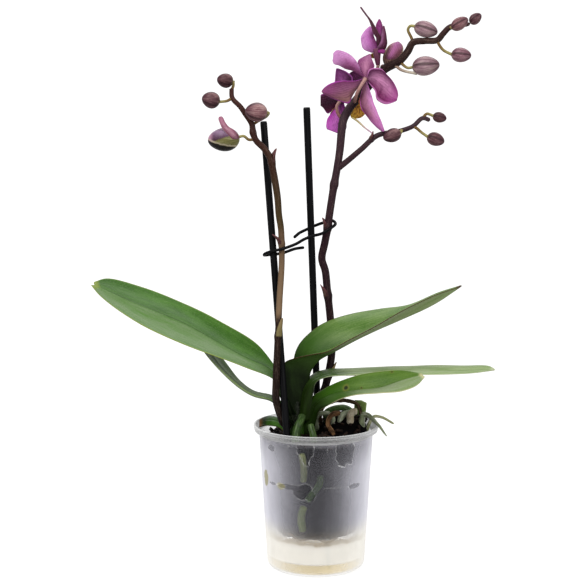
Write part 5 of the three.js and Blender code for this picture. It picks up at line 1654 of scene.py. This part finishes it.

# %% The tint of every petal
# Each petal: its left, middle, right, tip and vein colours, how striped it is, its edge.
# The colours hold painted light and shade: lit bands, and dark colours where a petal
# lies in shadow, as on most of the flower at the side.
PETAL_COLOURS_AND_SHADING = {
    "bloom_behind": [
        ("e29cd8", "a85c94", "662850", "dc98d4", "561a46", 0.45, None),
        ("94487c", "cc86ac", "8a3c70", "c07aac", "602048", 0.5, None),
        ("540e40", "dc90c0", "80145e", "c050a4", "420834", 0.4, "e48cd0"),
        ("74305e", "9c5c80", "b07a78", "96407e", "501c3c", 0.6, "b82cb4"),
        ("70304e", "b27090", "e898d8", "ec88dc", "4c1430", 0.5, "d060c4"),
    ],
    "bloom_side": [
        ("4a0a34", "300a22", "520e34", "3e0828", "1c0414", 0.4, "8c2080"),
        ("c23cb8", "ec80e4", "93248c", "ea78e2", "6a0e62", 0.4, None),
        ("8c3c7c", "ac58a4", "541a48", "84387c", "32082c", 0.5, "c060bc"),
        ("58184c", "702860", "3a0c34", "5c1c4c", "24041e", 0.4, None),
    ],
    "bloom_top": [
        ("784058", "562a3c", "5c2c36", "7c4660", "2c0c1c", 0.45, None),
        ("f0a8ea", "d07ac8", "7a2c68", "e08ad8", "6a205c", 0.45, None),
        ("8c2c74", "a84694", "541048", "a03c86", "420834", 0.4, None),
        ("b87aa8", "682c50", "4c142c", "743458", "28081a", 0.4, None),
        ("9c2c84", "b04098", "701458", "963080", "4c0a3c", 0.4, None),
    ],
    "bloom_half_open": [
        ("b07880", "cc78b4", "b4707a", "cc84c0", "7a3860", 0.5, "ecd4a8"),
        ("a06068", "b05c88", "8c484c", "bc68a4", "5c2044", 0.5, "d8bc84"),
    ],
}
print("tinted petals:", sum(len(rows) for rows in PETAL_COLOURS_AND_SHADING.values()))

# %% Lay the petals
FOLD, FOLD_DEEP = 5, 0.5  # the length and the depth of a petal's fine waves


def petal_surface(petal):
    left, middle, right = (Rail(path) for path in petal)

    def surface(t, s):
        a, b, c = left.at(t), middle.at(t), right.at(t)
        place = b * (1 - s * s) + a * (s * s - s) / 2 + c * (s * s + s) / 2
        beside = place + Vector((1, 0, 0))
        wave = Vector((ripple(place, FOLD, FOLD_DEEP), ripple(beside, FOLD, FOLD_DEEP), 0))
        return place + wave * MM * s * s * math.sin(math.pi * min(1, 0.1 + t))

    width = (left.at(0.5) - right.at(0.5)).length / MM
    return surface, (width / 2, middle.length / MM)


def add_petal(piece, petal, finish, long=28, across=12):
    surface, size = petal_surface(petal)
    piece.sheet(surface, lambda t, s: lerp(0.85, 0.5, abs(s)), long, across, finish, size)


def add_round(piece, centre, radius, finish):
    piece.ball(lambda unit: (Vector(centre) + unit * radius) * MM, finish, rings=14, sides=22)


def flower(name, heart_finish=heart_plum):
    """A flower's petals, and the number of the finish for its heart."""
    finishes = [
        petal_finish("%s_petal_%d" % (name, index + 1), *row)
        for index, row in enumerate(PETAL_COLOURS_AND_SHADING[name])
    ]
    made = Piece(name + "_petals", *finishes, heart_finish)
    for index, petal in enumerate(PETALS[name]):
        add_petal(made, petal, index)
    return made, len(finishes)


print("petals can be laid")

# %% The four flowers
BLOOM_TOP_NECK = [(43.6, 15.5, 359.2), (43, 15, 364), (42.5, 14.5, 371)]
# The body of the half open flower: its base, its tip and its width.
HALF_OPEN_BODY = ((50, 21.2, 359.8), (57.6, 21.8, 375.4), 10.6)
behind, heart = flower("bloom_behind")
add_round(behind, (34, 2.8, 349), 2.2, heart)
behind.ball(egg((34, 3.5, 349), (34.3, 9.4, 347.6), 3.2), heart, rings=12, sides=20)
behind.done(["bloom_behind"], "petal", smoother=1)

side, heart = flower("bloom_side")
add_round(side, (18.5, 24, 334.5), 2.4, heart)
side.done(["bloom_side"], "petal", smoother=1)

top, heart = flower("bloom_top")
top.stem(Rail(BLOOM_TOP_NECK), lambda t, a: lerp(1.5, 3.4, t), heart, sides=20, steps=24)
top.done(["bloom_top"], "petal", smoother=1)

half, heart = flower("bloom_half_open", heart_cream)
half.ball(egg(*HALF_OPEN_BODY), heart, rings=16, sides=26)
half.done(["bloom_half_open"], "petal", smoother=1)
print("flowers:", len(PETAL_COLOURS_AND_SHADING))

# %% [markdown]
# The fattest bud is opening. Its body is the same egg as a closed bud's, painted by
# its own height and side: mauve above, a lit green sepal below with a pale rim, and
# nearly black painted shade under it. One sepal has let go and curls up, laid as a petal is.

# %% The bud that is opening
# Its body: base, tip and width. The loose sepal runs between three rails, as petals do.
OPENING_BODY = ((-54.8, -3, 308), (-76, -6, 306.5), 16.4)
OPENING_FLAP = (
    [(-54.8, -4, 306), (-59, -10.5, 307.5), (-62.5, -11.5, 311), (-66, -10.5, 315.5), (-67.5, -9.5, 319),
     (-68.5, -8.5, 322), (-67.7, -8, 323)],
    [(-54.5, -5, 307), (-57, -11.5, 309.5), (-60, -12.5, 313), (-63.5, -11.5, 316), (-65.5, -10.5, 319),
     (-66.6, -8.5, 323.3)],
    [(-54, -4, 308.5), (-55, -9, 311), (-57.5, -11, 314), (-61, -10.5, 316), (-63.5, -9.5, 319),
     (-65, -8.5, 322), (-65.9, -8, 323)],
)
# The middle of the body as the finish sees it, and half its length and height.
MIDDLE_X, MIDDLE_Z = -65.4, 307.2
HALF_LONG, HALF_HIGH = 10.7, 8.2
opened = Finish("opening_skin", Roughness=0.4, Specular_IOR_Level=0.1)
place, flow = opened.where(), opened.carried("flow")
beside = (opened.axis(place, "X") - MIDDLE_X) / HALF_LONG
height = (opened.axis(place, "Z") - MIDDLE_Z) / HALF_HIGH + (opened.grain(place, 3) - 0.5) * 0.2
streaks = opened.streaks(flow, 0.5, 0.1)
mauves = (0.5, "4b2e40"), (0.68, "6c4a66"), (0.85, "a082a0"), (0.97, "6a3a5c")
body = opened.ramp(height * 0.5 + 0.5, *mauves)
body = opened.mix(body, "d8a4bc", beside.rise(-0.55, -0.95) * height.rise(-0.6, 0.1))
body = opened.mix(body, "6a3a5c", streaks.rise(0.5, 0.72) * 0.45)
green = opened.ramp(streaks, (0.3, "5c5826"), (0.55, "85804c"), (0.74, "bcb890"))
body = opened.mix(body, green, (height - beside * 0.45).rise(0.22, 0.02))
shade_line = height + beside * 0.28 - beside * beside * 0.18
# Nearly black painted shade under the body, with its pale rim along the edge.
body = opened.mix(body, "140c0a", shade_line.rise(-0.42, -0.56))
body = opened.mix(body, "dccdb4", shade_line.band(-0.5, -0.44, -0.4, -0.3) * 0.7)
opened.feed("Base Color", body)
opened.bump(streaks, 0.2)
flap_finish = petal_finish("opening_flap", "a06078", "d09cac", "9a5870", "c07894", "6a3048", 0.5, "ecc8cc")
opening = Piece("bud_opening_skin", opened, flap_finish)
opening.ball(egg(*OPENING_BODY), rings=22, sides=36)
add_petal(opening, OPENING_FLAP, finish=1)
opening.done(["bud_opening"], "bud", smoother=1)
print("the opening bud is", OPENING_BODY[2], "mm wide")

# %% [markdown]
# The lip is the odd petal of an orchid: a short neck, one or more spotted lobes and,
# on one of these flowers, a long whisker. Neck and whisker are stems, and the lobes
# are laid as petals are.

# %% Lips
# Each lip: its neck, its lobes, laid as petals are, and its whisker if it has one.
LIPS = {
    "bloom_behind_lip": {
        "neck": [(34.6, 7.2, 345.5), (34.4, 9, 335)],
        "lobes": [
            (
                [(33, 8.5, 336), (28.5, 9.5, 331), (25.5, 10.5, 327), (24, 11, 324)],
                [(34, 8.5, 335), (32, 8.5, 329), (29, 9.5, 325), (24.4, 11, 322.5)],
                [(35, 8.5, 334.5), (36, 9.5, 328), (32, 10.5, 322.5), (25.5, 11, 321.5)],
            ),
            (
                [(33.5, 9, 336), (31, 12.5, 336.5), (30.3, 15, 334.5)],
                [(33.5, 9, 334.5), (30.8, 12.8, 333.5), (30, 15.5, 332.8)],
                [(33.5, 9, 333), (31, 12.5, 331), (30.4, 15.2, 331.5)],
            ),
            (
                [(35.5, 9, 333), (38.8, 13, 329.5), (38.4, 16.5, 331)],
                [(35.5, 9, 334.5), (39.2, 13, 332.5), (38.8, 16.8, 332.5)],
                [(35.5, 9, 336), (38.5, 13, 336), (38.3, 16.5, 334)],
            ),
        ],
        "whisker": [(25.2, 11, 322.6), (29, 11.5, 320), (34, 11, 315.5), (40, 9.5, 311)],
    },
    "bloom_side_lip": {
        "neck": [(17.4, 27.4, 334.3), (15.5, 29.8, 329.5)],
        "lobes": [
            (
                [(14.5, 29, 330.5), (10.5, 32, 325.5), (9.5, 34, 320)],
                [(15.3, 29.5, 329.8), (13, 33, 324.5), (10.3, 34.5, 319.3)],
                [(16.5, 29, 329.5), (16, 32, 324), (11.2, 34, 319.5)],
            ),
        ],
    },
    "bloom_top_lip": {
        "neck": [(42, 18.1, 366.5), (40.5, 21.5, 366)],
        "lobes": [
            (
                [(41.2, 21.5, 367.3), (38.8, 25.5, 367), (37.2, 28.5, 364.5)],
                [(40.4, 21.8, 366), (37.6, 25.8, 365), (36.4, 28.9, 363.6)],
                [(39.6, 21.5, 364.7), (36.5, 25, 363.6), (36, 28.4, 363)],
            ),
        ],
    },
}
NECK = 1.2
YELLOW, WING, WHISKER = 0, 1, 2
lip_yellow = spotted_finish("lip_yellow", "e8a83c", "6c2410", "f4cc44")
lip_wing = spotted_finish("lip_wing", "d88c38", "701c20", "b45c80")
whisker_pink = soft_finish("lip_whisker", "fff0a8", "f4c8e8", "d8a0b8")
for name, lip in LIPS.items():
    made = Piece(name + "_lobes", lip_yellow, lip_wing, whisker_pink)
    neck = Rail(lip["neck"])
    made.stem(neck, lambda t, a: NECK, YELLOW, sides=12, steps=10)
    add_round(made, lip["neck"][1], 2, YELLOW)
    for index, lobe in enumerate(lip["lobes"]):
        add_petal(made, lobe, WING if index else YELLOW, long=20, across=10)
    if "whisker" in lip:
        made.stem(Rail(lip["whisker"]), lambda t, a: lerp(0.9, 0.5, t), WHISKER, sides=10, steps=30)
    made.done([name], "flower_lip", smoother=1)
print("lips:", len(LIPS))
